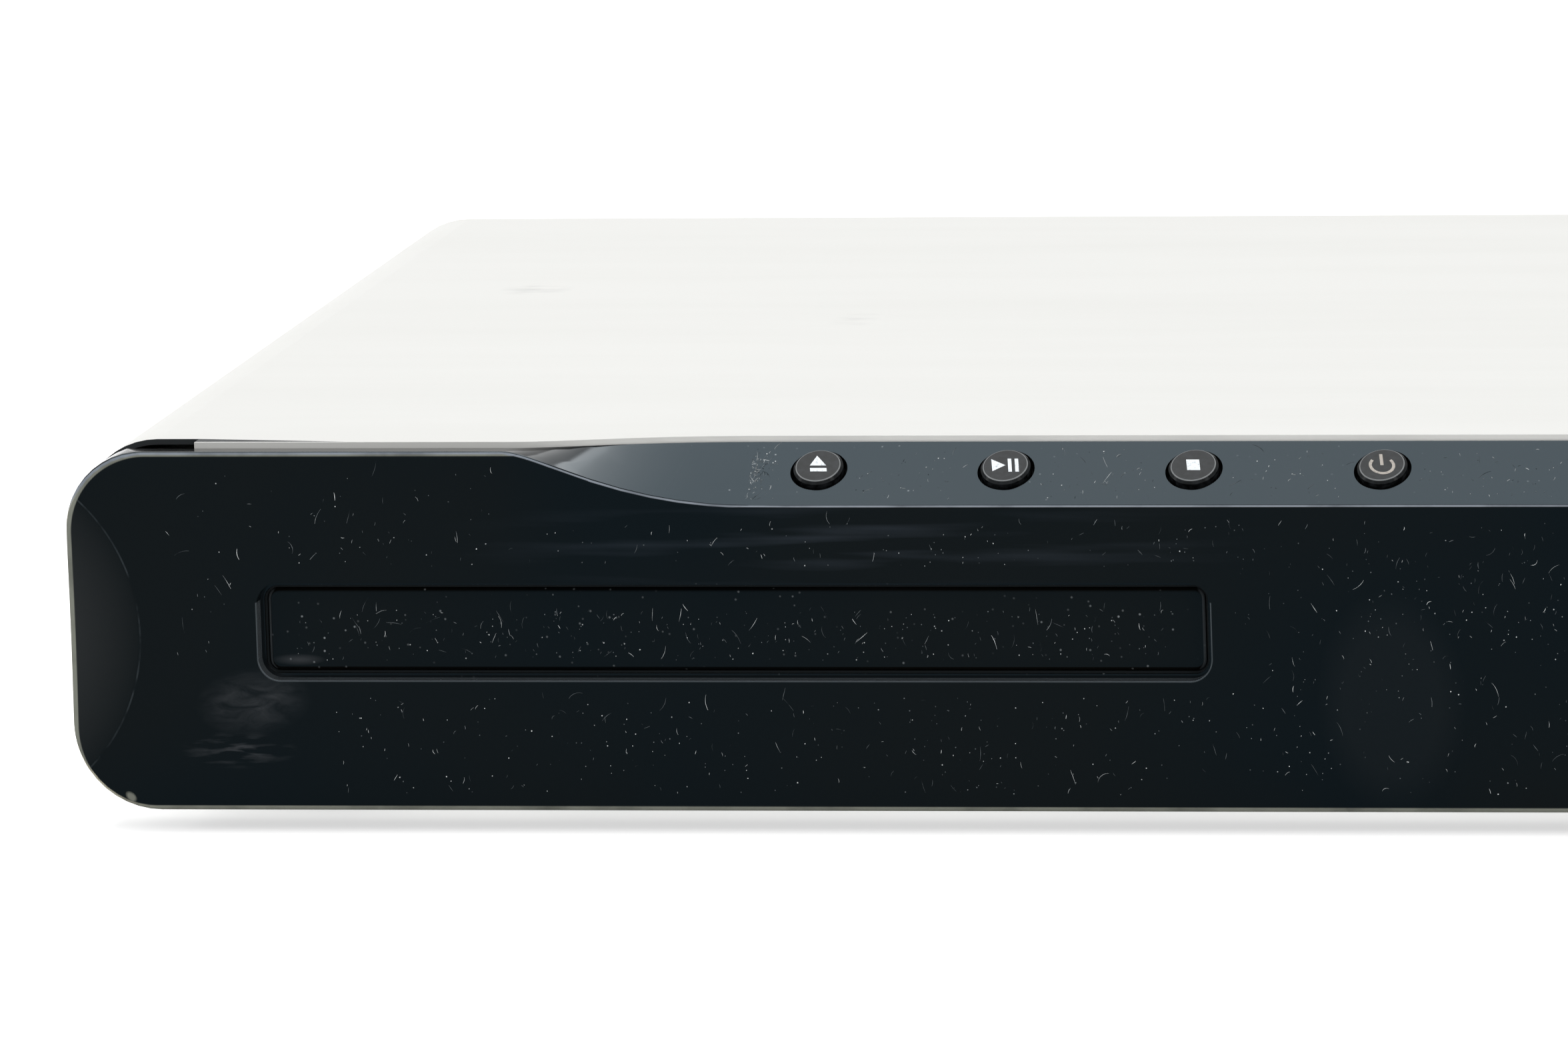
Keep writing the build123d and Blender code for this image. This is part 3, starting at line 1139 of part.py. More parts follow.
def groove_rings(radius):
    """The two flanges and the floor of a belt groove, as radius, foot and height."""
    flange_height = (PULLEY_HEIGHT - BELT_WIDTH - 2 * BELT_CLEARANCE) / 2
    return (
        (radius + PULLEY_FLANGE, pulley_low, flange_height),
        (radius, pulley_low, PULLEY_HEIGHT),
        (radius + PULLEY_FLANGE, pulley_high - flange_height, flange_height),
    )


with BuildPart() as pulley_gear:
    for radius, foot_level, height in groove_rings(PULLEY_RADIUS):
        with BuildSketch(level(foot_level)):
            with Locations(loader(pulley_gear_side, DRIVE_DEPTH)):
                Circle(radius)
        extrude(amount=height)
    with BuildSketch(level(pulley_high)):
        with Locations(loader(pulley_gear_side, DRIVE_DEPTH)):
            add(gear_outline(DRIVE_MODULE, PULLEY_PINION_TEETH, 180.0 + 180.0 / PULLEY_PINION_TEETH))
    extrude(amount=wheel_high - pulley_high)
    with BuildSketch(level(pulley_low)):
        with Locations(loader(pulley_gear_side, DRIVE_DEPTH)):
            Circle(GEAR_BORE / 2)
    extrude(amount=pinion_high, mode=Mode.SUBTRACT)
save(pulley_gear, "pulley_gear")

with BuildPart() as motor_pulley:
    for radius, foot_level, height in groove_rings(MOTOR_PULLEY_RADIUS):
        with BuildSketch(level(foot_level)):
            with Locations(loader(MOTOR_SIDE, DRIVE_DEPTH)):
                Circle(radius)
        extrude(amount=height)
    with BuildSketch(level(PLATFORM_TOP - MOTOR_SHAFT)):
        with Locations(loader(MOTOR_SIDE, DRIVE_DEPTH)):
            Circle(MOTOR_SHAFT / 2)
    extrude(amount=MOTOR_SHAFT + LEVEL_GAP)
save(motor_pulley, "motor_pulley")

belt_low = pulley_low + (PULLEY_HEIGHT - BELT_WIDTH) / 2
with BuildPart() as tray_belt:
    for grow, mode in ((BELT_CLEARANCE + BELT_THICKNESS, Mode.ADD), (BELT_CLEARANCE, Mode.SUBTRACT)):
        with BuildSketch(level(belt_low)):
            with Locations(loader(pulley_gear_side, DRIVE_DEPTH)):
                Circle(PULLEY_RADIUS + grow)
            with Locations(loader(MOTOR_SIDE, DRIVE_DEPTH)):
                Circle(MOTOR_PULLEY_RADIUS + grow)
            make_hull()
        extrude(amount=BELT_WIDTH, mode=mode)
save(tray_belt, "tray_belt")

motor_top = PLATFORM_TOP - PLATFORM_THICKNESS
with BuildPart() as tray_motor:
    with BuildSketch(level(motor_top - MOTOR_HEIGHT)):
        with Locations(loader(MOTOR_SIDE, DRIVE_DEPTH)):
            Circle(MOTOR_DIAMETER / 2)
    extrude(amount=MOTOR_HEIGHT)
    chamfer(tray_motor.faces().sort_by(Axis.Z)[0].edges(), 1.0)
    with BuildSketch(level(motor_top)):
        with Locations(loader(MOTOR_SIDE, DRIVE_DEPTH)):
            Circle(MOTOR_SHAFT + MOTOR_SHAFT / 2)
            Circle(MOTOR_SHAFT / 2 + SHAFT_CLEARANCE, mode=Mode.SUBTRACT)
    extrude(amount=PLATFORM_THICKNESS / 2)
    with BuildSketch(level(motor_top + PLATFORM_THICKNESS / 2)):
        with Locations(loader(MOTOR_SIDE, DRIVE_DEPTH)):
            Circle(MOTOR_SHAFT / 2 + SHAFT_CLEARANCE)
    extrude(amount=-(PLATFORM_THICKNESS / 2 + MOTOR_SHAFT), mode=Mode.SUBTRACT)
save(tray_motor, "tray_motor")

# ---------------------------------------------------------------- lifting deck
deck_mid_level = DECK_TOP - DECK_THICKNESS / 2
deck_low = DECK_TOP - DECK_THICKNESS
rib_low = deck_low - 3.7
sled_motor_body = 7.5
window_half = ROD_SIDE + 4.5
window_front = ROD_FRONT + 2.5
window_rear = ROD_REAR - 2.5
deck_wing = SLED_RACK_LINE + 17.0
pin_reach = CAM_THICKNESS + 0.9
sled_pinion_pitch = SLED_MODULE * SLED_PINION_TEETH / 2
sled_gear_side = SLED_RACK_LINE + sled_pinion_pitch
sled_wheel_pitch = SLED_WHEEL_MODULE * SLED_WHEEL_TEETH / 2
sled_motor_pitch = SLED_WHEEL_MODULE * SLED_MOTOR_TEETH / 2
sled_motor_depth = SLED_GEAR_DEPTH + sled_wheel_pitch + sled_motor_pitch
sled_wheel_high = WELL_UNDERSIDE - LEVEL_GAP
sled_wheel_low = sled_wheel_high - 2.0
sled_rack_high = sled_wheel_low - RUNNING_GAP
sled_rack_low = DECK_TOP + LEVEL_GAP
with BuildPart() as lifting_deck:
    with BuildSketch(level(deck_low)):
        with Locations(loader(0, (DECK_FRONT + DECK_REAR) / 2)):
            Rectangle(2 * DECK_HALF, DECK_REAR - DECK_FRONT)
        with Locations(loader((DECK_HALF + deck_wing) / 2, (SLED_GEAR_DEPTH + sled_motor_depth) / 2)):
            Rectangle(deck_wing - DECK_HALF + 2.0, sled_motor_depth - SLED_GEAR_DEPTH + 24.0)
        with Locations(loader(0, (window_front + window_rear) / 2)):
            Rectangle(2 * window_half, window_rear - window_front, mode=Mode.SUBTRACT)
        with Locations(disc_middle):
            Circle(HUB_DIAMETER / 2 - 1.5, mode=Mode.SUBTRACT)
        with Locations(loader(sled_gear_side, sled_motor_depth)):
            Circle(MOTOR_SHAFT, mode=Mode.SUBTRACT)
    extrude(amount=DECK_THICKNESS)
    with BuildSketch(level(rib_low)):
        with Locations(loader(0, (DECK_FRONT + DECK_REAR) / 2)):
            Rectangle(2 * DECK_HALF, DECK_REAR - DECK_FRONT)
            Rectangle(2 * (DECK_HALF - DECK_THICKNESS), DECK_REAR - DECK_FRONT, mode=Mode.SUBTRACT)
        with Locations(loader(0, DECK_FRONT + DECK_THICKNESS / 2)):
            Rectangle(2 * DECK_HALF, DECK_THICKNESS)
        with Locations(loader(sled_gear_side, sled_motor_depth)):
            Circle(sled_motor_body + RUNNING_GAP, mode=Mode.SUBTRACT)
    extrude(amount=deck_low - rib_low)
    with BuildSketch(level(PIVOT_LEVEL - PIVOT_DIAMETER / 2 - 1.0)):
        for side in (-1, 1):
            with Locations(loader(side * (DECK_HALF - DECK_THICKNESS / 2), PIVOT_DEPTH)):
                Rectangle(DECK_THICKNESS, 2 * (DECK_REAR - PIVOT_DEPTH))
    extrude(amount=deck_low - PIVOT_LEVEL + PIVOT_DIAMETER / 2 + 1.0)
    for side in (-1, 1):
        with BuildSketch(Plane(origin=(LOADER_X + side * (DECK_HALF - 1.0), FRONT + PIVOT_DEPTH, PIVOT_LEVEL),
                               z_dir=(side, 0, 0))):
            Circle(PIVOT_DIAMETER / 2)
        extrude(amount=bracket_out - DECK_HALF + 1.0)
        with BuildSketch(upright(DECK_FRONT + 1.0)):
            with Locations((LOADER_X + side * CAM_PIN_SIDE, deck_mid_level)):
                Circle(CAM_PIN / 2)
        extrude(amount=pin_reach + 1.0)
        for depth in (ROD_FRONT, ROD_REAR):
            with BuildSketch(upright(depth - 1.25)):
                with Locations((LOADER_X + side * ROD_SIDE, (DECK_TOP + ROD_LEVEL + 1.0) / 2 + 0.5)):
                    Rectangle(2.4 * ROD_DIAMETER, ROD_LEVEL + 2.0 - DECK_TOP + 1.0)
                with Locations((LOADER_X + side * ROD_SIDE, ROD_LEVEL)):
                    Circle(ROD_DIAMETER / 2 + 0.02, mode=Mode.SUBTRACT)
            extrude(amount=-2.5)
    with BuildSketch(level(DECK_TOP)):
        with Locations(loader(sled_gear_side, SLED_GEAR_DEPTH)):
            Circle(post_radius)
    extrude(amount=sled_wheel_high - 0.4 - DECK_TOP)
save(lifting_deck, "lifting_deck")

cam_slot_drop = (
    (PIVOT_DEPTH - DECK_FRONT + pin_reach / 2) * math.sin(math.radians(DECK_TILT))
    + (deck_mid_level - PIVOT_LEVEL) * (1 - math.cos(math.radians(DECK_TILT)))
)
cam_slot_length = math.hypot(CAM_TRAVEL, cam_slot_drop)
cam_slot_turn = math.degrees(math.atan2(cam_slot_drop, CAM_TRAVEL))
cam_slot_width = CAM_PIN + 2 * CAM_SLOT_CLEARANCE
cam_front = PLATFORM_REAR + RUNNING_GAP
cam_low = FRAME_LEVEL + RUNNING_GAP
cam_high = deck_mid_level + cam_slot_width / 2 + 1.6
cam_left = -CAM_PIN_SIDE - CAM_TRAVEL - 2 * CAM_PIN
cam_right = CAM_PIN_SIDE + 2 * CAM_PIN
with BuildPart() as cam_slider:
    with BuildSketch(upright(cam_front)):
        with Locations((LOADER_X + (cam_left + cam_right) / 2, (cam_low + cam_high) / 2)):
            Rectangle(cam_right - cam_left, cam_high - cam_low)
        for side in (-1, 1):
            slot_x = LOADER_X + side * CAM_PIN_SIDE - CAM_TRAVEL / 2
            with Locations((slot_x, deck_mid_level - cam_slot_drop / 2)):
                SlotCenterToCenter(cam_slot_length, cam_slot_width, rotation=cam_slot_turn, mode=Mode.SUBTRACT)
    extrude(amount=-CAM_THICKNESS)
save(cam_slider, "cam_slider")

# ---------------------------------------------------------------- disc drive
collar_radius = HUB_DIAMETER / 2 - 2.0
with BuildPart() as spindle_motor:
    with BuildSketch(level(deck_low)):
        with Locations(disc_middle):
            Circle(SPINDLE_MOTOR_DIAMETER / 2)
    extrude(amount=-SPINDLE_MOTOR_HEIGHT)
    chamfer(spindle_motor.faces().sort_by(Axis.Z)[0].edges(), 0.8)
    with BuildSketch(level(deck_low)):
        with Locations(disc_middle):
            Circle(collar_radius)
    extrude(amount=DECK_THICKNESS + 1.0)
    with BuildSketch(level(DECK_TOP + 1.0)):
        with Locations(disc_middle):
            Circle(MOTOR_SHAFT / 2 + SHAFT_CLEARANCE)
    extrude(amount=-(DECK_THICKNESS + SPINDLE_MOTOR_HEIGHT), mode=Mode.SUBTRACT)
save(spindle_motor, "spindle_motor")

hub_height = 1.8
with BuildPart() as turntable:
    with BuildSketch(level(DISC_PLANE - 2.0)):
        with Locations(disc_middle):
            Circle(TURNTABLE_DIAMETER / 2)
    extrude(amount=2.0)
    with BuildSketch(level(DISC_PLANE)):
        with Locations(disc_middle):
            Circle(HUB_DIAMETER / 2)
    extrude(amount=hub_height)
    chamfer(turntable.faces().sort_by(Axis.Z)[-1].edges(), 0.5 * hub_height, hub_height)
    with BuildSketch(level(DECK_TOP + 1.0 + LEVEL_GAP)):
        with Locations(disc_middle):
            Circle(collar_radius)
    extrude(amount=DISC_PLANE - 2.0 - DECK_TOP - 1.0 - LEVEL_GAP)
    with BuildSketch(level(deck_low)):
        with Locations(disc_middle):
            Circle(MOTOR_SHAFT / 2)
    extrude(amount=DECK_THICKNESS + 1.0 + LEVEL_GAP)
save(turntable, "turntable")

# ---------------------------------------------------------------- clamp over the disc
clamp_foot = DISC_PLANE + DISC_THICKNESS + RUNNING_GAP
with BuildPart() as clamp_bridge:
    with BuildSketch(level(BRIDGE_FOOT)):
        with Locations(disc_middle):
            Rectangle(2 * FRAME_OUTER, 1.2 * CLAMP_DIAMETER)
            Circle(CLAMP_NECK / 2 + 1.5, mode=Mode.SUBTRACT)
    extrude(amount=BRIDGE_THICKNESS)
    with BuildSketch(level(BRIDGE_TOP)):
        for side in (-1, 1):
            with Locations(loader(0, DISC_CENTRE + side * (0.6 * CLAMP_DIAMETER - 1.0))):
                Rectangle(2 * FRAME_OUTER, 2.0)
    extrude(amount=3.0)
    with BuildSketch(level(FRAME_TOP)):
        for side in (-1, 1):
            with Locations(loader(side * (FRAME_OUTER - FRAME_WALL / 2), DISC_CENTRE)):
                Rectangle(FRAME_WALL, 1.2 * CLAMP_DIAMETER)
    extrude(amount=BRIDGE_LEG)
save(clamp_bridge, "clamp_bridge")

clamp_head = BRIDGE_TOP + RUNNING_GAP
with BuildPart() as clamp_puck:
    with BuildSketch(level(clamp_foot)):
        with Locations(disc_middle):
            Circle(CLAMP_DIAMETER / 2)
    extrude(amount=2.4)
    with BuildSketch(level(clamp_foot)):
        with Locations(disc_middle):
            Circle(CLAMP_NECK / 2)
    extrude(amount=clamp_head - clamp_foot)
    with BuildSketch(level(clamp_head)):
        with Locations(disc_middle):
            Circle(CLAMP_DIAMETER / 2)
    extrude(amount=1.6)
    chamfer(clamp_puck.faces().sort_by(Axis.Z)[-1].edges(), 0.6)
    with BuildSketch(level(clamp_foot)):
        with Locations(disc_middle):
            Circle(HUB_DIAMETER / 2 + 1.5)
    extrude(amount=2.0, mode=Mode.SUBTRACT)
save(clamp_puck, "clamp_puck")

# ---------------------------------------------------------------- laser sled
for name, side in (("left", -1), ("right", 1)):
    with BuildPart() as guide_rod:
        with BuildSketch(upright(ROD_FRONT - 1.25)):
            with Locations((LOADER_X + side * ROD_SIDE, ROD_LEVEL)):
                Circle(ROD_DIAMETER / 2)
        extrude(amount=-(ROD_REAR - ROD_FRONT + 2.5))
    save(guide_rod, f"guide_rod_{name}")

sled_half = TRAY_SLOT / 2 - 1.0
lens_depth = SLED_FRONT + 8.0
bearing_half = ROD_DIAMETER / 2 + 1.2
rod_bore = ROD_DIAMETER / 2 + SHAFT_CLEARANCE
sled_low = deck_low - 2.0
rack_front = SLED_GEAR_DEPTH - SLED_TRAVEL - 3 * SLED_MODULE
rack_rear = SLED_FRONT + SLED_LENGTH
with BuildPart() as laser_sled:
    with BuildSketch(upright(SLED_FRONT)):
        with Locations((LOADER_X, (sled_low + SLED_TOP) / 2)):
            Rectangle(2 * sled_half, SLED_TOP - sled_low)
        for side in (-1, 1):
            with Locations((LOADER_X + side * (sled_half + ROD_SIDE) / 2, ROD_LEVEL)):
                Rectangle(ROD_SIDE - sled_half + 2.0, 2 * bearing_half)
            with Locations((LOADER_X + side * ROD_SIDE, ROD_LEVEL)):
                Rectangle(2 * bearing_half, 2 * bearing_half)
        for side in (-1, 1):
            with Locations((LOADER_X + side * ROD_SIDE, ROD_LEVEL)):
                Circle(rod_bore, mode=Mode.SUBTRACT)
    extrude(amount=-SLED_LENGTH)
    with BuildSketch(level(sled_rack_low)):
        with Locations(loader(0, 0)):
            add(
                rack_outline(
                    SLED_MODULE, SLED_RACK_LINE, SLED_RACK_LINE - 1.2 * SLED_MODULE - ROD_SIDE - bearing_half,
                    rack_front, rack_rear, SLED_GEAR_DEPTH + math.pi * SLED_MODULE / 2, 1,
                )
            )
        with Locations(loader(ROD_SIDE + bearing_half, (rack_front + SLED_FRONT) / 2 - 1.0)):
            Rectangle(4.0, SLED_FRONT - rack_front + 0.5, mode=Mode.SUBTRACT)
    extrude(amount=sled_rack_high - sled_rack_low)
    with BuildSketch(level(SLED_TOP)):
        with Locations(loader(0, lens_depth)):
            Circle(7.0)
            Circle(4.6, mode=Mode.SUBTRACT)
    extrude(amount=2.4)
save(laser_sled, "laser_sled")

with BuildPart() as objective_lens:
    with BuildSketch(level(SLED_TOP)):
        with Locations(loader(0, lens_depth)):
            Circle(4.0)
    extrude(amount=3.0)
    fillet(objective_lens.faces().sort_by(Axis.Z)[-1].edges(), 1.4)
save(objective_lens, "objective_lens")

with BuildPart() as sled_gear:
    with BuildSketch(level(sled_rack_low)):
        with Locations(loader(sled_gear_side, SLED_GEAR_DEPTH)):
            add(gear_outline(SLED_MODULE, SLED_PINION_TEETH))
    extrude(amount=sled_wheel_low - sled_rack_low)
    with BuildSketch(level(sled_wheel_low)):
        with Locations(loader(sled_gear_side, SLED_GEAR_DEPTH)):
            add(gear_outline(SLED_WHEEL_MODULE, SLED_WHEEL_TEETH))
    extrude(amount=sled_wheel_high - sled_wheel_low)
    with BuildSketch(level(sled_rack_low)):
        with Locations(loader(sled_gear_side, SLED_GEAR_DEPTH)):
            Circle(GEAR_BORE / 2)
    extrude(amount=PANEL_HEIGHT, mode=Mode.SUBTRACT)
save(sled_gear, "sled_gear")

with BuildPart() as sled_motor:
    with BuildSketch(level(deck_low)):
        with Locations(loader(sled_gear_side, sled_motor_depth)):
            Circle(sled_motor_body)
            Circle(MOTOR_SHAFT / 2 + SHAFT_CLEARANCE, mode=Mode.SUBTRACT)
    extrude(amount=-sled_motor_body)
save(sled_motor, "sled_motor")

with BuildPart() as sled_motor_pinion:
    with BuildSketch(level(sled_wheel_low)):
        with Locations(loader(sled_gear_side, sled_motor_depth)):
            add(gear_outline(SLED_WHEEL_MODULE, SLED_MOTOR_TEETH, 180.0 / SLED_MOTOR_TEETH - 90.0))
    extrude(amount=sled_wheel_high - sled_wheel_low)
    with BuildSketch(level(deck_low - sled_motor_body / 2)):
        with Locations(loader(sled_gear_side, sled_motor_depth)):
            Circle(MOTOR_SHAFT / 2)
    extrude(amount=sled_wheel_low - deck_low + sled_motor_body / 2)
save(sled_motor_pinion, "sled_motor_pinion")

# ---------------------------------------------------------------- screws
with BuildPart() as board_and_loader_screws:
    for places, seat in ((board_screws, board_top), (lug_places, FRAME_LEVEL + FRAME_FLOOR)):
        with BuildSketch(level(seat)):
            with Locations(*places):
                Circle(SCREW_HEAD / 2)
        extrude(amount=SCREW_HEAD_HEIGHT)
        with BuildSketch(level(BASE + 0.4)):
            with Locations(*places):
                Circle(SCREW_DIAMETER / 2 - 0.05)
        extrude(amount=seat - BASE - 0.4)
save(board_and_loader_screws, "board_and_loader_screws")

with BuildPart() as cover_screws:
    for side in (-1, 1):
        for depth in side_screw_depths:
            with BuildSketch(Plane(origin=(side * WIDTH / 2, FRONT + depth, screw_level), z_dir=(side, 0, 0))):
                Circle(SCREW_DIAMETER / 2 - 0.05)
            extrude(amount=-(COVER_THICKNESS + 2 * PAN_THICKNESS + 2.0))
    with BuildSketch(upright(CASE_DEPTH)):
        with Locations(*[(x, COVER_TOP - REAR_LIP / 2) for x in rear_screw_places]):
            Circle(SCREW_HEAD / 2)
    extrude(amount=-SCREW_HEAD_HEIGHT)
    with BuildSketch(upright(CASE_DEPTH)):
        with Locations(*[(x, COVER_TOP - REAR_LIP / 2) for x in rear_screw_places]):
            Circle(SCREW_DIAMETER / 2 - 0.05)
    extrude(amount=COVER_THICKNESS + REAR_PLATE_THICKNESS + 2.0)
save(cover_screws, "cover_screws")

# ---------------------------------------------------------------- flat cables and their sockets
socket_rise = 2.6
front_cable_x = MAIN_BOARD[0] + 66.0
loader_cable_x = MAIN_BOARD[0] + 24.0
for name, cable_x in (("front_cable_socket", front_cable_x), ("loader_cable_socket", loader_cable_x)):
    with BuildPart() as cable_socket:
        with BuildSketch(level(board_top)):
            with Locations((cable_x, FRONT + socket_mid_depth)):
                Rectangle(CABLE_WIDTH + 4.0, CABLE_SOCKET_DEPTH)
        extrude(amount=socket_rise)
        with BuildSketch(level(cable_level - CABLE_THICKNESS)):
            with Locations((cable_x, FRONT + socket_mid_depth - CABLE_SOCKET_DEPTH / 2)):
                Rectangle(CABLE_WIDTH + 0.4, CABLE_SOCKET_DEPTH)
        extrude(amount=3 * CABLE_THICKNESS, mode=Mode.SUBTRACT)
    save(cable_socket, name)

board_back = FRONT_BOARD_SETBACK + BOARD_THICKNESS
with BuildPart() as front_flat_cable:
    with BuildSketch(Plane(origin=(front_cable_x, 0, 0), x_dir=(0, 1, 0), z_dir=(1, 0, 0))):
        with BuildLine():
            Polyline(
                (FRONT + board_back + CABLE_THICKNESS / 2, front_board_z[0] + 12.0),
                (FRONT + board_back + CABLE_THICKNESS / 2, front_board_z[0] + 4.0),
                (FRONT + board_back + 6.0, cable_level),
                (FRONT + socket_mid_depth - 0.5, cable_level),
            )
        trace(line_width=CABLE_THICKNESS)
    extrude(amount=CABLE_WIDTH / 2, both=True)
save(front_flat_cable, "front_flat_cable")

with BuildPart() as loader_flat_cable:
    with BuildSketch(level(cable_level - CABLE_THICKNESS / 2)):
        with Locations((loader_cable_x, FRONT + (loader_cable_depth + socket_mid_depth) / 2)):
            Rectangle(CABLE_WIDTH, socket_mid_depth - loader_cable_depth)
        with Locations(((LOADER_X + FRAME_INNER + loader_cable_x) / 2, FRONT + loader_cable_depth)):
            Rectangle(loader_cable_x + CABLE_WIDTH - LOADER_X - FRAME_INNER + 4.0, CABLE_WIDTH)
    extrude(amount=CABLE_THICKNESS)
save(loader_flat_cable, "loader_flat_cable")
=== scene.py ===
"""Disc player with a loading tray: finishes, key symbols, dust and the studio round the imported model."""
import json
import math
import random

import bmesh
import bpy
from mathutils import Matrix, Vector


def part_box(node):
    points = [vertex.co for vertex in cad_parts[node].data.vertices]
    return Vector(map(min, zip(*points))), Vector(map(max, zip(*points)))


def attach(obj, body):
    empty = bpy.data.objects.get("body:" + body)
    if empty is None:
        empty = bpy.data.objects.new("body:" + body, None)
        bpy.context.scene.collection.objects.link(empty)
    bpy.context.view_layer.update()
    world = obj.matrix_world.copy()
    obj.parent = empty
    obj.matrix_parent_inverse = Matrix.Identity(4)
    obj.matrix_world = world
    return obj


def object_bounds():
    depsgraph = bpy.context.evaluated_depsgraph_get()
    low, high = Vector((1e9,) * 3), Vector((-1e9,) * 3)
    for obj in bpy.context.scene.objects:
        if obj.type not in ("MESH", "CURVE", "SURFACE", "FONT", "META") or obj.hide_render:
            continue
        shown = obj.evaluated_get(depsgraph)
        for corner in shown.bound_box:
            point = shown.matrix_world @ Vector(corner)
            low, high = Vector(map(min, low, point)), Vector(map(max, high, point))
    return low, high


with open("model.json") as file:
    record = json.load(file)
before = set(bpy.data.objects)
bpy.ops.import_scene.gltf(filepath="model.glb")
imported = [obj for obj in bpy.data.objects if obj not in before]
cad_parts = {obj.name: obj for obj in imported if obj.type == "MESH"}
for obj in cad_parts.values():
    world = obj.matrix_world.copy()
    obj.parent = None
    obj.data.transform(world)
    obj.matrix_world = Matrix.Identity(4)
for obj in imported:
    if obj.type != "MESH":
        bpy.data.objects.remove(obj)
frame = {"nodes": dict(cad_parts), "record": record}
CAD_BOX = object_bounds()

bl_info = {
    "name": "Disc player with a tray",
    "version": (1, 0, 0),
    "blender": (4, 5, 0),
    "location": "View3D > Sidebar > Player",
    "description": "Finishes and sets up a slim disc player with a loading tray",
    "category": "Object",
}

MM = 0.001
FRONT = CAD_BOX[0][1]
REAR = CAD_BOX[1][1]
LEFT = CAD_BOX[0][0]

# The front panel: its leaning facet, its outline, and the dish at both ends.
PANEL_TOP = 57.3 * MM
S_CURVE_START = 66 * MM
FACET_LIP = 49.05 * MM
FACET_REACH = 11.6 * MM
FACET_RISE = 7.7 * MM
FACET_ANGLE = math.atan2(FACET_RISE, FACET_REACH)
FACET_SHARE = 0.555
OUTLINE_LEVEL = 30.4 * MM
OUTLINE_HALF = (180.0 * MM, 26.9 * MM)
OUTLINE_RADIUS = 12.4 * MM
DISH_CENTRE = 197.2 * MM
DISH_LEVEL = 29.8 * MM
DISH_RADIUS = 27.9 * MM

# The tray's door, the gap round it and the flared mouth of its recess.
DOOR_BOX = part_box("tray_door")
DOOR_MIDDLE = tuple((DOOR_BOX[0][axis] + DOOR_BOX[1][axis]) / 2 for axis in (0, 2))
DOOR_HALF = tuple((DOOR_BOX[1][axis] - DOOR_BOX[0][axis]) / 2 for axis in (0, 2))
DOOR_RADIUS = 1.7 * MM
DOOR_GAP = 0.35 * MM
RECESS_FLARE = 0.75 * MM
MOUTH_HALF = tuple(half + DOOR_GAP + RECESS_FLARE for half in DOOR_HALF)
MOUTH_RADIUS = 3.3 * MM

# The other openings, and the painted shadow of the gap under the cover's front edge.
WINDOW_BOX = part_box("display_window")
USB_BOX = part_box("usb_socket")
JACK_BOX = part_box("av_jacks")
JACK_PITCH = 14.0 * MM
COVER_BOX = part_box("top_cover")
WEDGE_START = 161.6 * MM
WEDGE_END = 134.0 * MM
WEDGE_DEPTH = 3.2 * MM

# The thickness of ink and lint, and a step that tells a sunk face from the one before it.
INK = 0.02 * MM
FACE_STEP = 0.05 * MM

# The keys on the facet.
KEY_PROUD = 1.0 * MM
KEY_PITCH = 28.0 * MM
KEY_CROWN_RADIUS = 3.27 * MM
SYMBOL_SLANT = 0.2
KEY_PLACES = {
    name: (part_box(f"{name}_button")[0][0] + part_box(f"{name}_button")[1][0]) / 2
    for name in ("eject", "play", "stop", "power")
}

# Lint: the openings it keeps clear of, how far it stays from them and from the keys, its band on the
# facet in millimetres, and its tones, the bright one painted as fibres caught by the light, with their share
# of the fibres, seed, darkest and palest colour.
OPENINGS = (DOOR_BOX, WINDOW_BOX, USB_BOX)
LINT_CLEARANCE = 3.6 * MM
LINT_KEY_CLEARANCE = 5.4 * MM
LINT_FACET = (-6.2, 4.6)
LINT_TONES = {
    "faint": (0.6, 3, "#23282b", "#6b7174"),
    "bright": (0.4, 5, "#6d7376", "#d9dddd"),
}

# The studio: half the floor's side, the aim of the lamps, and the camera's shift for the crop.
FLOOR_HALF = 9.0
LAMP_TARGET = (-0.04, FRONT, 0.053)
CAMERA_SHIFT = (-0.22, -0.2)


# ------------------------------------------------------------------ colours, nodes and meshes
def linear(hex_value):
    """An sRGB hex colour as linear RGBA."""
    parts = [int(hex_value[i:i + 2], 16) / 255 for i in (1, 3, 5)]
    return (*[c / 12.92 if c <= 0.04045 else ((c + 0.055) / 1.055) ** 2.4 for c in parts], 1.0)


def put(tree, kind, links=None, stops=None, **settings):
    """Adds a node with its settings, its links or values by socket, and a ramp's stops."""
    node = tree.nodes.new("ShaderNode" + kind)
    for name, value in settings.items():
        setattr(node, name, value)
    for socket, value in (links or {}).items():
        if isinstance(value, bpy.types.Node):
            value = next(out for out in value.outputs if out.enabled)
        if isinstance(value, bpy.types.NodeSocket):
            tree.links.new(value, node.inputs[socket])
        else:
            node.inputs[socket].default_value = value
    if stops:
        elements = node.color_ramp.elements
        while len(elements) < len(stops):
            elements.new(0.5)
        for element, (place, value) in zip(elements, stops):
            element.position = place
            element.color = linear(value) if isinstance(value, str) else (value, value, value, 1.0)
    return node


def new_finish(name, colour="#808080", **sockets):
    """An empty material with its output and a principled shader set to constant values."""
    finish = bpy.data.materials.new(name)
    finish.use_nodes = True
    tree = finish.node_tree
    tree.nodes.clear()
    shader = put(tree, "BsdfPrincipled", {"Base Color": linear(colour)})
    for socket, value in sockets.items():
        shader.inputs[socket.replace("_", " ")].default_value = value
    put(tree, "OutputMaterial", {"Surface": shader})
    return finish, tree, shader


def metres(tree, scale=(1.0, 1.0, 1.0), turn=(0.0, 0.0, 0.0)):
    """Object coordinates in metres, turned and then stretched."""
    place = put(tree, "TexCoord").outputs["Object"]
    return put(tree, "Mapping", {"Vector": place, "Rotation": turn, "Scale": scale})


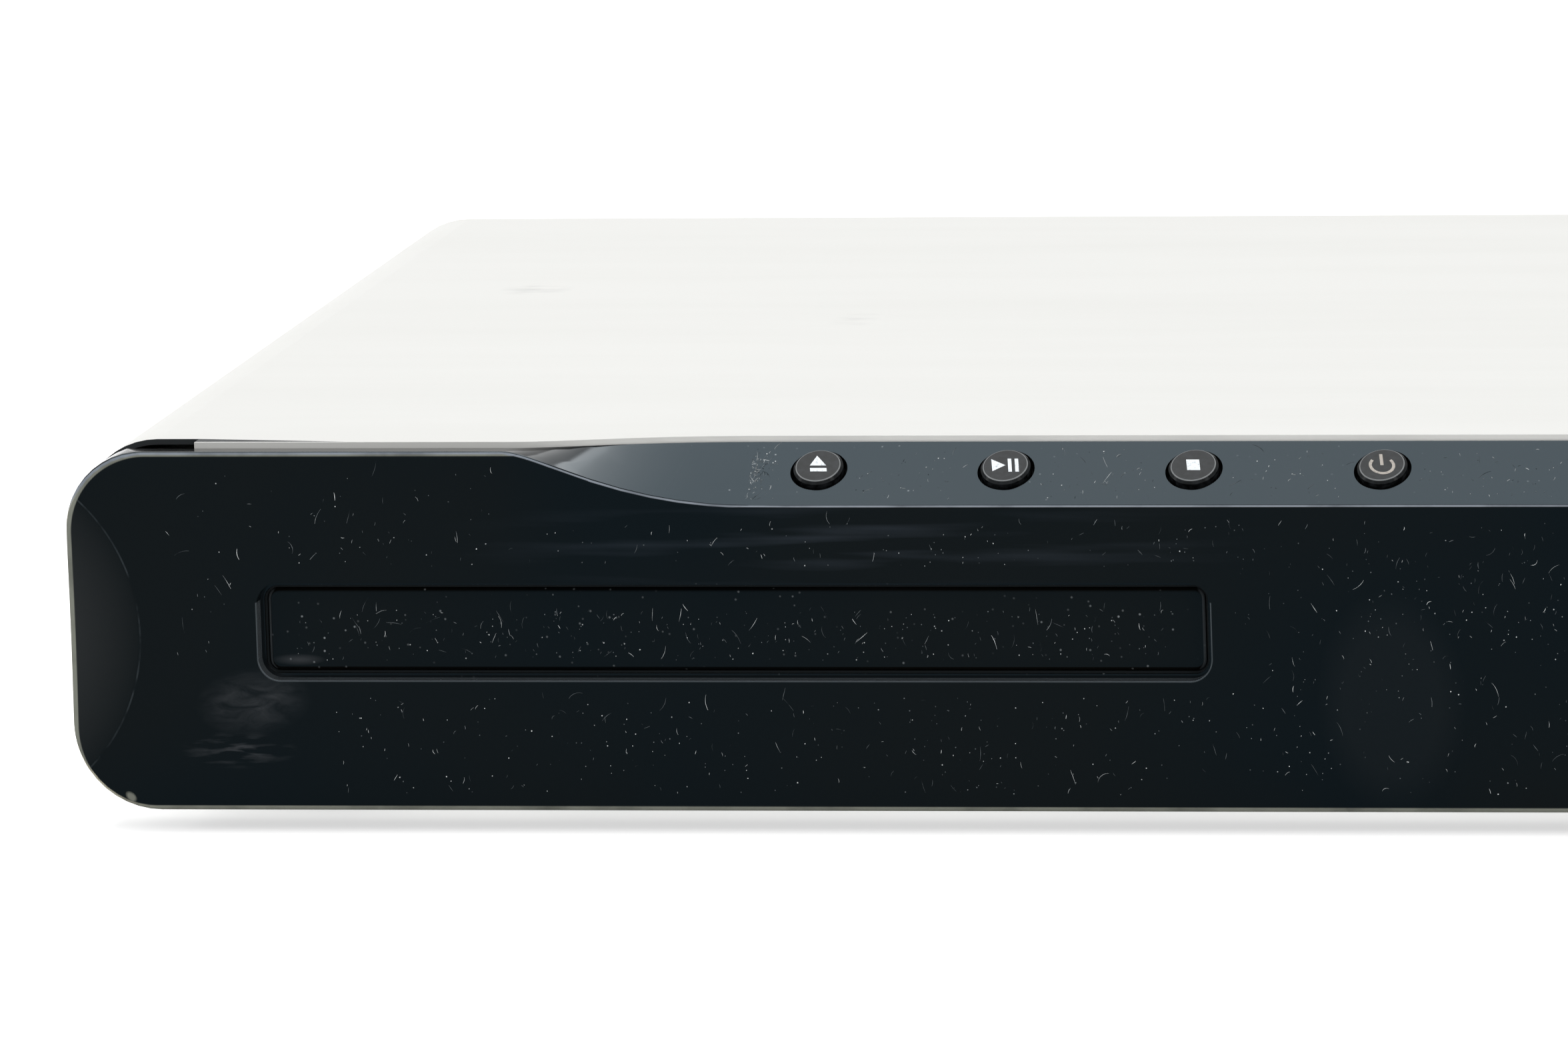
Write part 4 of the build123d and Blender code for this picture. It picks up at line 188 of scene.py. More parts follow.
def soft_spot(tree, centre, reach, turn=0.0):
    """A spot that is 1 at its centre and 0 at its reach, turned in the plane of the front."""
    place = put(tree, "TexCoord").outputs["Object"]
    mapping = put(tree, "Mapping", {"Vector": place, "Location": centre, "Rotation": (0.0, turn, 0.0),
                                    "Scale": reach}, vector_type="TEXTURE")
    return put(tree, "TexGradient", {"Vector": mapping}, gradient_type="SPHERICAL").outputs["Fac"]


def new_piece(name, fill, body, finish):
    """A mesh piece, from a function that fills a bmesh, riding on a body."""
    mesh = bpy.data.meshes.new(name)
    work = bmesh.new()
    fill(work)
    bmesh.ops.recalc_face_normals(work, faces=work.faces)
    work.to_mesh(mesh)
    work.free()
    mesh.materials.append(finish)
    piece = bpy.data.objects.new(name, mesh)
    bpy.context.scene.collection.objects.link(piece)
    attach(piece, body)
    return piece


def on_facet(across, up, proud):
    """A point on the key facet: across from the middle, up the slope from the row of keys, and proud."""
    y = FRONT + FACET_SHARE * FACET_REACH + up * math.cos(FACET_ANGLE) - proud * math.sin(FACET_ANGLE)
    z = FACET_LIP + FACET_SHARE * FACET_RISE + up * math.sin(FACET_ANGLE) + proud * math.cos(FACET_ANGLE)
    return Vector((across, y, z))


def on_front(across, up, proud):
    """A point on the front face."""
    return Vector((across, FRONT - proud, up))


def on_door(across, up, proud):
    """A point on the tray door."""
    return Vector((across, DOOR_BOX[0][1] - proud, up))


def add_slab(work, outline, place, thickness):
    """A thin closed slab from an outline, where place(u, v, h) gives a point at height h."""
    upper = [work.verts.new(place(u, v, thickness)) for u, v in outline]
    lower = [work.verts.new(place(u, v, 0.0)) for u, v in outline]
    work.faces.new(upper)
    work.faces.new(list(reversed(lower)))
    count = len(outline)
    for i in range(count):
        j = (i + 1) % count
        work.faces.new((lower[i], lower[j], upper[j], upper[i]))


# ------------------------------------------------------------------ finishes of the outside
def outside_of(tree, middle, half, radius):
    """How many millimetres a point of the front lies outside a rounded rectangle, below 0 within it."""
    x, _, z = put(tree, "SeparateXYZ", {0: put(tree, "TexCoord").outputs["Object"]}).outputs
    folds = []
    for value, centre, reach in zip((x, z), middle, half):
        fold = put(tree, "Math", {0: value, 1: centre}, operation="SUBTRACT")
        fold = put(tree, "Math", {0: fold}, operation="ABSOLUTE")
        folds.append(put(tree, "Math", {0: fold, 1: reach - radius}, operation="SUBTRACT"))
    beyond = put(tree, "CombineXYZ", {0: folds[0], 1: folds[1]})
    beyond = put(tree, "VectorMath", {0: beyond, 1: (0, 0, 0)}, operation="MAXIMUM").outputs["Vector"]
    beyond = put(tree, "VectorMath", {0: beyond}, operation="LENGTH").outputs["Value"]
    within = put(tree, "Math", {0: folds[0], 1: folds[1]}, operation="MAXIMUM")
    within = put(tree, "Math", {0: within, 1: 0.0}, operation="MINIMUM")
    away = put(tree, "Math", {0: beyond, 1: within}, operation="ADD")
    away = put(tree, "Math", {0: away, 1: radius}, operation="SUBTRACT")
    return put(tree, "Math", {0: away, 1: 1.0 / MM}, operation="MULTIPLY")


def recess_marks(tree):
    """The paler grey inside the tray's recess, the painted highlight along its rim and the painted glint of
    the door's short edges.
    """
    _, y, z = put(tree, "SeparateXYZ", {0: put(tree, "TexCoord").outputs["Object"]}).outputs
    mouth = outside_of(tree, DOOR_MIDDLE, MOUTH_HALF, MOUTH_RADIUS)
    inside = put(tree, "Math", {0: mouth, 1: -0.02}, operation="LESS_THAN")
    # Inside the recess, between the front and the door, the colour is a paler grey.
    paler_inside = inside
    for depth, side in ((FRONT + FACE_STEP, "GREATER_THAN"), (DOOR_BOX[0][1] - FACE_STEP, "LESS_THAN")):
        between = put(tree, "Math", {0: y, 1: depth}, operation=side)
        paler_inside = put(tree, "Math", {0: paler_inside, 1: between}, operation="MULTIPLY")
    # A painted highlight: the rim shows as a fine pale line, except at the top.
    rim_highlight = put(tree, "Math", {0: mouth, 1: 0.5}, operation="ADD")
    rim_highlight = put(tree, "ValToRGB", {0: rim_highlight}, [(0.42, 0.0), (0.5, 1.0), (0.62, 1.0), (0.72, 0.0)])
    below = put(tree, "Math", {0: z, 1: DOOR_MIDDLE[1] + 0.6 * MOUTH_HALF[1]}, operation="LESS_THAN")
    for share in (below, 0.6):
        rim_highlight = put(tree, "Math", {0: rim_highlight, 1: share}, operation="MULTIPLY")
    facing = put(tree, "SeparateXYZ", {0: put(tree, "TexCoord").outputs["Normal"]}).outputs
    sideways = put(tree, "Math", {0: facing[0]}, operation="ABSOLUTE")
    glint = put(tree, "ValToRGB", {0: sideways}, [(0.2, 0.0), (0.4, 0.5), (0.75, 0.5), (0.9, 0.0)])
    at_door = put(tree, "Math", {0: y, 1: DOOR_BOX[0][1] - INK}, operation="GREATER_THAN")
    for share in (at_door, inside):
        glint = put(tree, "Math", {0: glint, 1: share}, operation="MULTIPLY")
    return paler_inside, rim_highlight, glint


def dished_ends(tree):
    """The painted reflection that greys the dish at both ends, and the broken painted highlight along the
    crease where it meets the flat.
    """
    x, _, z = put(tree, "SeparateXYZ", {0: put(tree, "TexCoord").outputs["Object"]}).outputs
    across = put(tree, "Math", {0: x}, operation="ABSOLUTE")
    across = put(tree, "Math", {0: across, 1: DISH_CENTRE}, operation="SUBTRACT")
    upward = put(tree, "Math", {0: z, 1: DISH_LEVEL}, operation="SUBTRACT")
    reach = put(tree, "VectorMath", {0: put(tree, "CombineXYZ", {0: across, 1: upward})}, operation="LENGTH")
    share = put(tree, "Math", {0: reach.outputs["Value"], 1: DISH_RADIUS}, operation="DIVIDE")
    # Painted reflection: the dish is made greyer, most of all in its inner part.
    dish_reflection = put(tree, "ValToRGB", {0: share}, [(0.62, 0.018), (0.9, 0.006), (0.985, 0.002), (1.0, 0.0)])
    # A painted highlight: a broken pale line along the crease where the dish meets the flat.
    crease_highlight = put(tree, "Math", {0: share, 1: 1.0, 2: 0.0045}, operation="COMPARE")
    broken = put(tree, "TexNoise", {"Vector": metres(tree), "Scale": 260.0, "Detail": 3.0})
    broken = put(tree, "ValToRGB", {0: broken}, [(0.42, 0.0), (0.6, 0.28)])
    return dish_reflection, put(tree, "Math", {0: crease_highlight, 1: broken}, operation="MULTIPLY")


def wiped_bands(tree):
    """Wiped bands across the upper half, some 2 mm high and 40 mm long."""
    bands = put(tree, "TexNoise", {"Vector": metres(tree, (0.06, 1.0, 1.0)), "Scale": 420.0, "Detail": 2.0})
    bands = put(tree, "ValToRGB", {0: bands}, [(0.5, 0.0), (0.72, 1.0)])
    high = soft_spot(tree, (-62.0 * MM, FRONT, 43.5 * MM), (66.0 * MM, 40.0 * MM, 8.0 * MM))
    for share in (high, 0.09):
        bands = put(tree, "Math", {0: bands, 1: share}, operation="MULTIPLY")
    return bands


def finger_marks(tree):
    """The finger mark below the tray's left end, the wiped streaks under it and the lick on the door."""
    smear = soft_spot(tree, (-152.4 * MM, FRONT, 19.8 * MM), (9.0 * MM, 30.0 * MM, 5.2 * MM), -0.12)
    cloud = put(tree, "TexNoise", {"Vector": metres(tree, (0.5, 1.0, 1.25), (0.0, 0.25, 0.0)), "Scale": 420.0,
                                   "Detail": 6.0, "Roughness": 0.6, "Distortion": 0.8})
    cloud = put(tree, "ValToRGB", {0: cloud}, [(0.36, 0.12), (0.66, 1.0)])
    smear = put(tree, "Math", {0: smear, 1: cloud}, operation="MULTIPLY")
    streaks = soft_spot(tree, (-155.0 * MM, FRONT, 12.6 * MM), (9.0 * MM, 30.0 * MM, 3.0 * MM))
    lines = put(tree, "TexNoise", {"Vector": metres(tree, (0.16, 1.0, 1.0)), "Scale": 1100.0, "Detail": 3.0})
    lines = put(tree, "ValToRGB", {0: lines}, [(0.5, 0.0), (0.66, 1.0)])
    streaks = put(tree, "Math", {0: streaks, 1: lines}, operation="MULTIPLY")
    lick = soft_spot(tree, (-146.0 * MM, FRONT, 25.7 * MM), (4.2 * MM, 30.0 * MM, 0.9 * MM))
    marks = put(tree, "Math", {0: smear, 1: streaks}, operation="ADD")
    return put(tree, "Math", {0: marks, 1: lick}, operation="ADD", use_clamp=True)


def settled_dust(tree):
    """Grains of dust 0.2 to 0.4 mm across, in drifts."""
    grains = put(tree, "TexVoronoi", {"Vector": metres(tree), "Scale": 620.0})
    drifts = put(tree, "TexNoise", {"Vector": metres(tree), "Scale": 45.0, "Detail": 3.0})
    dust = put(tree, "ValToRGB", {0: grains.outputs["Distance"]}, [(0.05, 1.0), (0.13, 0.0)])
    for source, stops in ((grains.outputs["Color"], [(0.62, 0.0), (0.9, 1.0)]),
                          (drifts, [(0.42, 0.1), (0.62, 0.8)])):
        share = put(tree, "ValToRGB", {0: source}, stops)
        dust = put(tree, "Math", {0: dust, 1: share}, operation="MULTIPLY")
    return dust


def edge_highlights_and_wear(tree):
    """Where the lip shows a painted highlight as a pale line, where the rounded rim holds tan dust with a
    painted highlight, and the tone of both.
    """
    _, y, _ = put(tree, "SeparateXYZ", {0: put(tree, "TexCoord").outputs["Object"]}).outputs
    lean_x, lean_y, lean_z = put(tree, "SeparateXYZ", {0: put(tree, "TexCoord").outputs["Normal"]}).outputs
    # The rounded rim round the outline: tan dust together with a painted highlight.
    rim = outside_of(tree, (0.0, OUTLINE_LEVEL), OUTLINE_HALF, OUTLINE_RADIUS)
    rim = put(tree, "Math", {0: rim, 1: 1.0}, operation="ADD")
    rim = put(tree, "ValToRGB", {0: rim}, [(0.22, 0.0), (0.38, 1.0)])
    forward = put(tree, "Math", {0: lean_y, 1: -1.0}, operation="MULTIPLY")
    forward = put(tree, "ValToRGB", {0: forward}, [(0.04, 0.0), (0.12, 1.0)])
    leans_up = put(tree, "ValToRGB", {0: lean_z}, [(0.4, 0.0), (0.6, 1.0)])
    not_up = put(tree, "Math", {0: 1.0, 1: leans_up}, operation="SUBTRACT")
    for share in (forward, not_up):
        rim = put(tree, "Math", {0: rim, 1: share}, operation="MULTIPLY")
    depth = put(tree, "Math", {0: y, 1: FRONT}, operation="SUBTRACT")
    depth = put(tree, "Math", {0: depth, 1: 1.0 / MM}, operation="MULTIPLY")
    # A painted highlight on the lip: a pale line in the first 0.2 mm behind the front, where the face turns
    # up.
    lip_highlight = put(tree, "ValToRGB", {0: depth}, [(0.01, 0.0), (0.03, 1.0), (0.13, 1.0), (0.19, 0.0)])
    turned = put(tree, "Math", {0: lean_y, 1: -0.995}, operation="GREATER_THAN")
    at_lip = put(tree, "ValToRGB", {0: lean_z}, [(0.12, 0.0), (0.3, 1.0)])
    for share in (turned, at_lip):
        lip_highlight = put(tree, "Math", {0: lip_highlight, 1: share}, operation="MULTIPLY")
    wear = put(tree, "TexNoise", {"Vector": metres(tree), "Scale": 150.0, "Detail": 4.0})
    wear = put(tree, "ValToRGB", {0: wear}, [(0.3, 0.55), (0.55, 0.95)])
    edge = put(tree, "Math", {0: rim, 1: lip_highlight}, operation="MAXIMUM")
    edge = put(tree, "Math", {0: edge, 1: wear}, operation="MULTIPLY")
    # One chip at the lower left corner.
    chip = soft_spot(tree, (-171.6 * MM, FRONT, 5.5 * MM), (1.5 * MM, 3.0 * MM, 1.0 * MM), 0.7)
    chip = put(tree, "Math", {0: chip, 1: wear}, operation="MULTIPLY")
    chip = put(tree, "ValToRGB", {0: chip}, [(0.2, 0.0), (0.4, 0.8)])
    edge = put(tree, "Math", {0: edge, 1: chip}, operation="MAXIMUM")
    # Painted light: the rim is paler where it faces sideways than along the bottom, and the lip's painted
    # highlight is a cool grey.
    sideways = put(tree, "Math", {0: lean_x}, operation="ABSOLUTE")
    rim_dust_and_light_tone = put(tree, "ValToRGB", {0: sideways}, [(0.1, "#85877d"), (0.75, "#c0baa4")])
    return edge, put(tree, "Mix", {0: at_lip, 6: rim_dust_and_light_tone, 7: linear("#8d949d")}, data_type="RGBA")


def piano_black_moulded_abs():
    """Polished moulded ABS. A deep blue-black gloss that shows every speck and smear, with painted highlights
    and reflections along its edges, in its dished ends and right of the tray.
    """
    finish, tree, shader = new_finish("piano_black_moulded_abs", IOR=1.46, Specular_IOR_Level=0.093,
                                      Specular_Tint=linear("#9fd3ee"))
    # The black drifts between a blue and a green cast over some 60 mm.
    base = (*bpy.context.scene.player_look.panel_colour, 1.0)
    bluer = (base[0] * 0.6, base[1] * 0.85, base[2] * 1.2, 1.0)
    drift = put(tree, "TexNoise", {"Vector": metres(tree), "Scale": 16.0, "Detail": 2.0})
    drift = put(tree, "ValToRGB", {0: drift}, [(0.38, 0.0), (0.62, 1.0)])
    colour = put(tree, "Mix", {0: drift, 6: base, 7: bluer}, data_type="RGBA")
    # A painted reflection: a faint paler patch in the gloss right of the tray.
    reflection_patch = soft_spot(tree, (18.0 * MM, FRONT, 20.0 * MM), (14.0 * MM, 40.0 * MM, 21.0 * MM))
    reflection_patch = put(tree, "ValToRGB", {0: reflection_patch}, [(0.2, 0.0), (0.5, 0.004)])
    recess_grey, rim_highlight, glint = recess_marks(tree)
    dish_reflection, crease_highlight = dished_ends(tree)
    fingers = finger_marks(tree)
    faint_fingers = put(tree, "Math", {0: fingers, 1: 0.1}, operation="MULTIPLY")
    dust = settled_dust(tree)
    edge, highlight_and_wear_tone = edge_highlights_and_wear(tree)
    # Painted light among these layers: the recess rim's line, the door's glint, the dish's grey, the crease
    # line, the patch right of the tray and most of the pale edge.
    layers = (
        ("MIX", recess_grey, linear("#131618")),
        ("MIX", rim_highlight, linear("#5a6064")),
        ("MIX", glint, linear("#5a6064")),
        ("ADD", 1.0, dish_reflection),
        ("MIX", crease_highlight, linear("#50565a")),
        ("MIX", wiped_bands(tree), linear("#7f8a9c")),
        ("ADD", 1.0, reflection_patch),
        ("MIX", faint_fingers, linear("#a9adb4")),
        ("MIX", dust, linear("#9fa5a8")),
        ("MIX", edge, highlight_and_wear_tone),
    )
    for blend, share, tone in layers:
        colour = put(tree, "Mix", {0: share, 6: colour, 7: tone}, data_type="RGBA", blend_type=blend)
    tree.links.new(colour.outputs[2], shader.inputs["Base Color"])
    rough = put(tree, "Math", {0: fingers, 1: 0.3, 2: 0.1}, operation="MULTIPLY_ADD")
    dull = put(tree, "Math", {0: edge, 1: dust}, operation="MAXIMUM")
    rough = put(tree, "Math", {0: dull, 1: 0.35, 2: rough}, operation="MULTIPLY_ADD")
    tree.links.new(rough.outputs[0], shader.inputs["Roughness"])
    return finish


def lacquered_key_abs():
    """Moulded ABS under clear lacquer. A dark grey top and near-black sides in painted light and shade, and a
    painted highlight ring on the crown.
    """
    finish, tree, shader = new_finish("lacquered_key_abs", IOR=1.42, Specular_IOR_Level=0.035)
    facing = put(tree, "TexCoord").outputs["Normal"]
    normal = (0.0, -math.sin(FACET_ANGLE), math.cos(FACET_ANGLE))
    leaning = put(tree, "VectorMath", {0: facing, 1: normal}, operation="DOT_PRODUCT").outputs["Value"]
    # Painted light: the top is a shade lighter than the sides, as more light falls on it.
    shade = put(tree, "ValToRGB", {0: leaning}, [(0.3, "#08090a"), (0.62, "#0b0c0d"), (0.72, "#202223"),
                                                (0.9, "#2c2f30"), (1.0, "#2f3132")])
    # A painted highlight: the crown's edge shows as a pale ring 0.16 mm wide, on every key of the row.
    x, y, z = put(tree, "SeparateXYZ", {0: put(tree, "TexCoord").outputs["Object"]}).outputs
    steps = put(tree, "Math", {0: x, 1: KEY_PLACES["eject"]}, operation="SUBTRACT")
    steps = put(tree, "Math", {0: steps, 1: KEY_PITCH}, operation="DIVIDE")
    nearest = put(tree, "Math", {0: steps}, operation="ROUND")
    rest = put(tree, "Math", {0: steps, 1: nearest}, operation="SUBTRACT")
    rest = put(tree, "Math", {0: rest, 1: KEY_PITCH}, operation="MULTIPLY")
    middle = on_facet(0.0, 0.0, 0.0)
    back = put(tree, "Math", {0: y, 1: middle.y}, operation="SUBTRACT")
    back = put(tree, "Math", {0: back, 1: math.cos(FACET_ANGLE)}, operation="MULTIPLY")
    rise = put(tree, "Math", {0: z, 1: middle.z}, operation="SUBTRACT")
    back = put(tree, "Math", {0: rise, 1: math.sin(FACET_ANGLE), 2: back}, operation="MULTIPLY_ADD")
    radius = put(tree, "VectorMath", {0: put(tree, "CombineXYZ", {0: rest, 1: back})},
                 operation="LENGTH").outputs["Value"]
    ring = put(tree, "Math", {0: radius, 1: KEY_CROWN_RADIUS, 2: 0.08 * MM}, operation="COMPARE")
    ring = put(tree, "Math", {0: ring, 1: put(tree, "Math", {0: leaning, 1: 0.6}, operation="GREATER_THAN")},
               operation="MULTIPLY")
    shade = put(tree, "Mix", {0: ring, 6: shade, 7: linear("#86898a")}, data_type="RGBA")
    grime = put(tree, "TexNoise", {"Vector": metres(tree), "Scale": 900.0, "Detail": 5.0})
    grime = put(tree, "ValToRGB", {0: grime}, [(0.4, 0.0), (0.75, 0.25)])
    colour = put(tree, "Mix", {0: grime, 6: shade, 7: linear("#4a4e52")}, data_type="RGBA")
    tree.links.new(colour.outputs[2], shader.inputs["Base Color"])
    rough = put(tree, "Math", {0: grime, 1: 0.5, 2: 0.14}, operation="MULTIPLY_ADD")
    tree.links.new(rough.outputs[0], shader.inputs["Roughness"])
    return finish


def satin_painted_sheet_steel():
    """Pressed sheet with pale satin paint. Nearly white and soft, with faint rub marks and streaks, and a
    painted shadow in the gap at its front edge.
    """
    base = (*bpy.context.scene.player_look.cover_colour, 1.0)
    finish, tree, shader = new_finish("satin_painted_sheet_steel", IOR=1.5, Specular_IOR_Level=0.04)
    # Spray texture of 0.4 mm, and streaks 17 mm wide and 140 mm long where the sheet was wiped.
    spray = put(tree, "TexNoise", {"Vector": metres(tree), "Scale": 2500.0, "Detail": 2.0})
    wipe = put(tree, "TexNoise", {"Vector": metres(tree, (0.12, 1.0, 1.0)), "Scale": 60.0, "Detail": 5.0})
    wipe = put(tree, "ValToRGB", {0: wipe}, [(0.4, 0.0), (0.7, 1.0)])
    shade = (base[0] * 0.975, base[1] * 0.975, base[2] * 0.972, 1.0)
    colour = put(tree, "Mix", {0: wipe, 6: base, 7: shade}, data_type="RGBA")
    # Two rub marks at the left, each with its place, its size and its strength.
    for (x, y), (wide, deep), strength in (((-141.0, 36.0), (6.0, 7.0), 0.3),
                                           ((-84.0, 4.0), (4.0, 9.0), 0.16)):
        rub = soft_spot(tree, (x * MM, y * MM, PANEL_TOP), (wide * MM, deep * MM, 20.0 * MM))
        cloud = put(tree, "TexNoise", {"Vector": metres(tree, (0.4, 1.0, 1.0)), "Scale": 300.0,
                                       "Detail": 4.0})
        cloud = put(tree, "ValToRGB", {0: cloud}, [(0.42, 0.0), (0.6, strength)])
        rub = put(tree, "Math", {0: rub, 1: cloud}, operation="MULTIPLY")
        colour = put(tree, "Mix", {0: rub, 6: colour, 7: linear("#8f9193")}, data_type="RGBA")
    # Painted shade: beside each notch the cover's edge stands off the panel, and the shadow in that gap is
    # painted dark on the cover, narrowing to nothing.
    x, y, _ = put(tree, "SeparateXYZ", {0: put(tree, "TexCoord").outputs["Object"]}).outputs
    along = put(tree, "Math", {0: x}, operation="ABSOLUTE")
    along = put(tree, "MapRange", {0: along, 1: WEDGE_END, 2: WEDGE_START, 3: -FACE_STEP, 4: WEDGE_DEPTH})
    back = put(tree, "Math", {0: y, 1: COVER_BOX[0][1]}, operation="SUBTRACT")
    gap_shadow = put(tree, "Math", {0: back, 1: along}, operation="LESS_THAN")
    behind = put(tree, "Math", {0: back, 1: 0.5 * MM}, operation="GREATER_THAN")
    gap_shadow = put(tree, "Math", {0: gap_shadow, 1: behind}, operation="MULTIPLY")
    colour = put(tree, "Mix", {0: gap_shadow, 6: colour, 7: linear("#35383a")}, data_type="RGBA")
    tree.links.new(colour.outputs[2], shader.inputs["Base Color"])
    rough = put(tree, "ValToRGB", {0: spray}, [(0.3, 0.36), (0.7, 0.46)])
    tree.links.new(rough.outputs[0], shader.inputs["Roughness"])
    bump = put(tree, "Bump", {"Height": spray, "Strength": 0.04, "Distance": 0.1 * MM})
    tree.links.new(bump.outputs[0], shader.inputs["Normal"])
    return finish


def smoked_cast_acrylic():
    """Tinted cast acrylic. A clean hard gloss, nearly black, with only a breath of haze."""
    finish, tree, shader = new_finish("smoked_cast_acrylic", IOR=1.49, Specular_IOR_Level=0.2)
    haze = put(tree, "TexNoise", {"Vector": metres(tree), "Scale": 60.0, "Detail": 3.0})
    colour = put(tree, "ValToRGB", {0: haze}, [(0.4, "#08080b"), (0.7, "#0f1015")])
    tree.links.new(colour.outputs[0], shader.inputs["Base Color"])
    rough = put(tree, "ValToRGB", {0: haze}, [(0.4, 0.03), (0.7, 0.1)])
    tree.links.new(rough.outputs[0], shader.inputs["Roughness"])
    return finish


def pad_printed_ink(name, worn, whole):
    """Pad-printed ink. Flat and opaque, worn thin in spots of about 0.5 mm."""
    finish, tree, shader = new_finish(name, Roughness=0.5, Specular_IOR_Level=0.3)
    wear = put(tree, "TexNoise", {"Vector": metres(tree), "Scale": 2000.0, "Detail": 3.0})
    colour = put(tree, "ValToRGB", {0: wear}, [(0.28, worn), (0.45, whole)])
    tree.links.new(colour.outputs[0], shader.inputs["Base Color"])
    return finish


def cotton_lint(name, faint, bright):
    """Fibres and crumbs of house dust. Pale and dry, with no shine; the bright copy is painted as the fibres
    caught by the light, the faint copy as those that are not.
    """
    finish, tree, shader = new_finish(name, Roughness=1.0, Specular_IOR_Level=0.0)
    tone = put(tree, "TexNoise", {"Vector": metres(tree), "Scale": 420.0, "Detail": 2.0})
    colour = put(tree, "ValToRGB", {0: tone}, [(0.36, faint), (0.64, bright)])
    tree.links.new(colour.outputs[0], shader.inputs["Base Color"])
    return finish


# ------------------------------------------------------------------ finishes of the inside and the back
def grained(name, shades, roughness, grain, **sockets):
    """A moulded or coated finish: a fine grain of a size in millimetres and a slow change of tone."""
    finish, tree, shader = new_finish(name, shades[0], **sockets)
    fine = put(tree, "TexNoise", {"Vector": metres(tree), "Scale": 1.0 / (grain * MM), "Detail": 3.0})
    slow = put(tree, "TexNoise", {"Vector": metres(tree), "Scale": 25.0, "Detail": 4.0})
    colour = put(tree, "ValToRGB", {0: slow}, [(0.3, shades[0]), (0.7, shades[1])])
    tree.links.new(colour.outputs[0], shader.inputs["Base Color"])
    rough = put(tree, "ValToRGB", {0: fine}, [(0.3, max(roughness - 0.08, 0.02)), (0.7, roughness + 0.08)])
    tree.links.new(rough.outputs[0], shader.inputs["Roughness"])
    bump = put(tree, "Bump", {"Height": fine, "Strength": 0.2, "Distance": 0.05 * MM})
    tree.links.new(bump.outputs[0], shader.inputs["Normal"])
    return finish


def drawn_metal(name, shades, roughness, stretch):
    """A rolled, drawn or turned metal: fine streaks along its working direction change the gloss."""
    finish, tree, shader = new_finish(name, shades[0], Metallic=1.0)
    streaks = put(tree, "TexNoise", {"Vector": metres(tree, stretch), "Scale": 900.0, "Detail": 4.0})
    slow = put(tree, "TexNoise", {"Vector": metres(tree), "Scale": 22.0, "Detail": 3.0})
    colour = put(tree, "ValToRGB", {0: slow}, [(0.3, shades[0]), (0.7, shades[1])])
    tree.links.new(colour.outputs[0], shader.inputs["Base Color"])
    rough = put(tree, "ValToRGB", {0: streaks}, [(0.3, roughness - 0.08), (0.7, roughness + 0.1)])
    tree.links.new(rough.outputs[0], shader.inputs["Roughness"])
    return finish


def etched_circuit_board(name, mask, copper):
    """Etched copper under lacquer. Runs 0.3 mm apart show as a second tone, with pads 1.4 mm across."""
    finish, tree, shader = new_finish(name, mask, Specular_IOR_Level=0.5)
    bricks = put(tree, "TexBrick", {
        "Vector": metres(tree, (330.0, 330.0, 330.0)), "Color1": (0, 0, 0, 1), "Color2": (0, 0, 0, 1),
        "Mortar": (1, 1, 1, 1), "Mortar Size": 0.07, "Brick Width": 1.6, "Row Height": 0.55})
    dots = put(tree, "TexVoronoi", {"Vector": metres(tree), "Scale": 260.0})
    pads = put(tree, "ValToRGB", {0: dots.outputs["Distance"]}, [(0.16, 1.0), (0.2, 0.0)])
    runs = put(tree, "Mix", {0: bricks.outputs["Color"], 6: linear(mask), 7: linear(copper)},
               data_type="RGBA")
    colour = put(tree, "Mix", {0: pads, 6: runs, 7: linear("#b9bcb8")}, data_type="RGBA")
    tree.links.new(colour.outputs[2], shader.inputs["Base Color"])
    rough = put(tree, "ValToRGB", {0: pads}, [(0.0, 0.32), (1.0, 0.2)])
    tree.links.new(rough.outputs[0], shader.inputs["Roughness"])
    tree.links.new(pads.outputs[0], shader.inputs["Metallic"])
    return finish


def coated_moulded_glass():
    """Moulded glass with an antireflection coating. Violet face on, paler at its edge."""
    finish, tree, shader = new_finish("coated_moulded_glass", Roughness=0.02, IOR=1.58,
                                      Transmission_Weight=0.7)
    edge = put(tree, "LayerWeight", {"Blend": 0.35}).outputs["Facing"]
    colour = put(tree, "ValToRGB", {0: edge}, [(0.0, "#6d74c4"), (0.8, "#c9cdf2")])
    tree.links.new(colour.outputs[0], shader.inputs["Base Color"])
    return finish


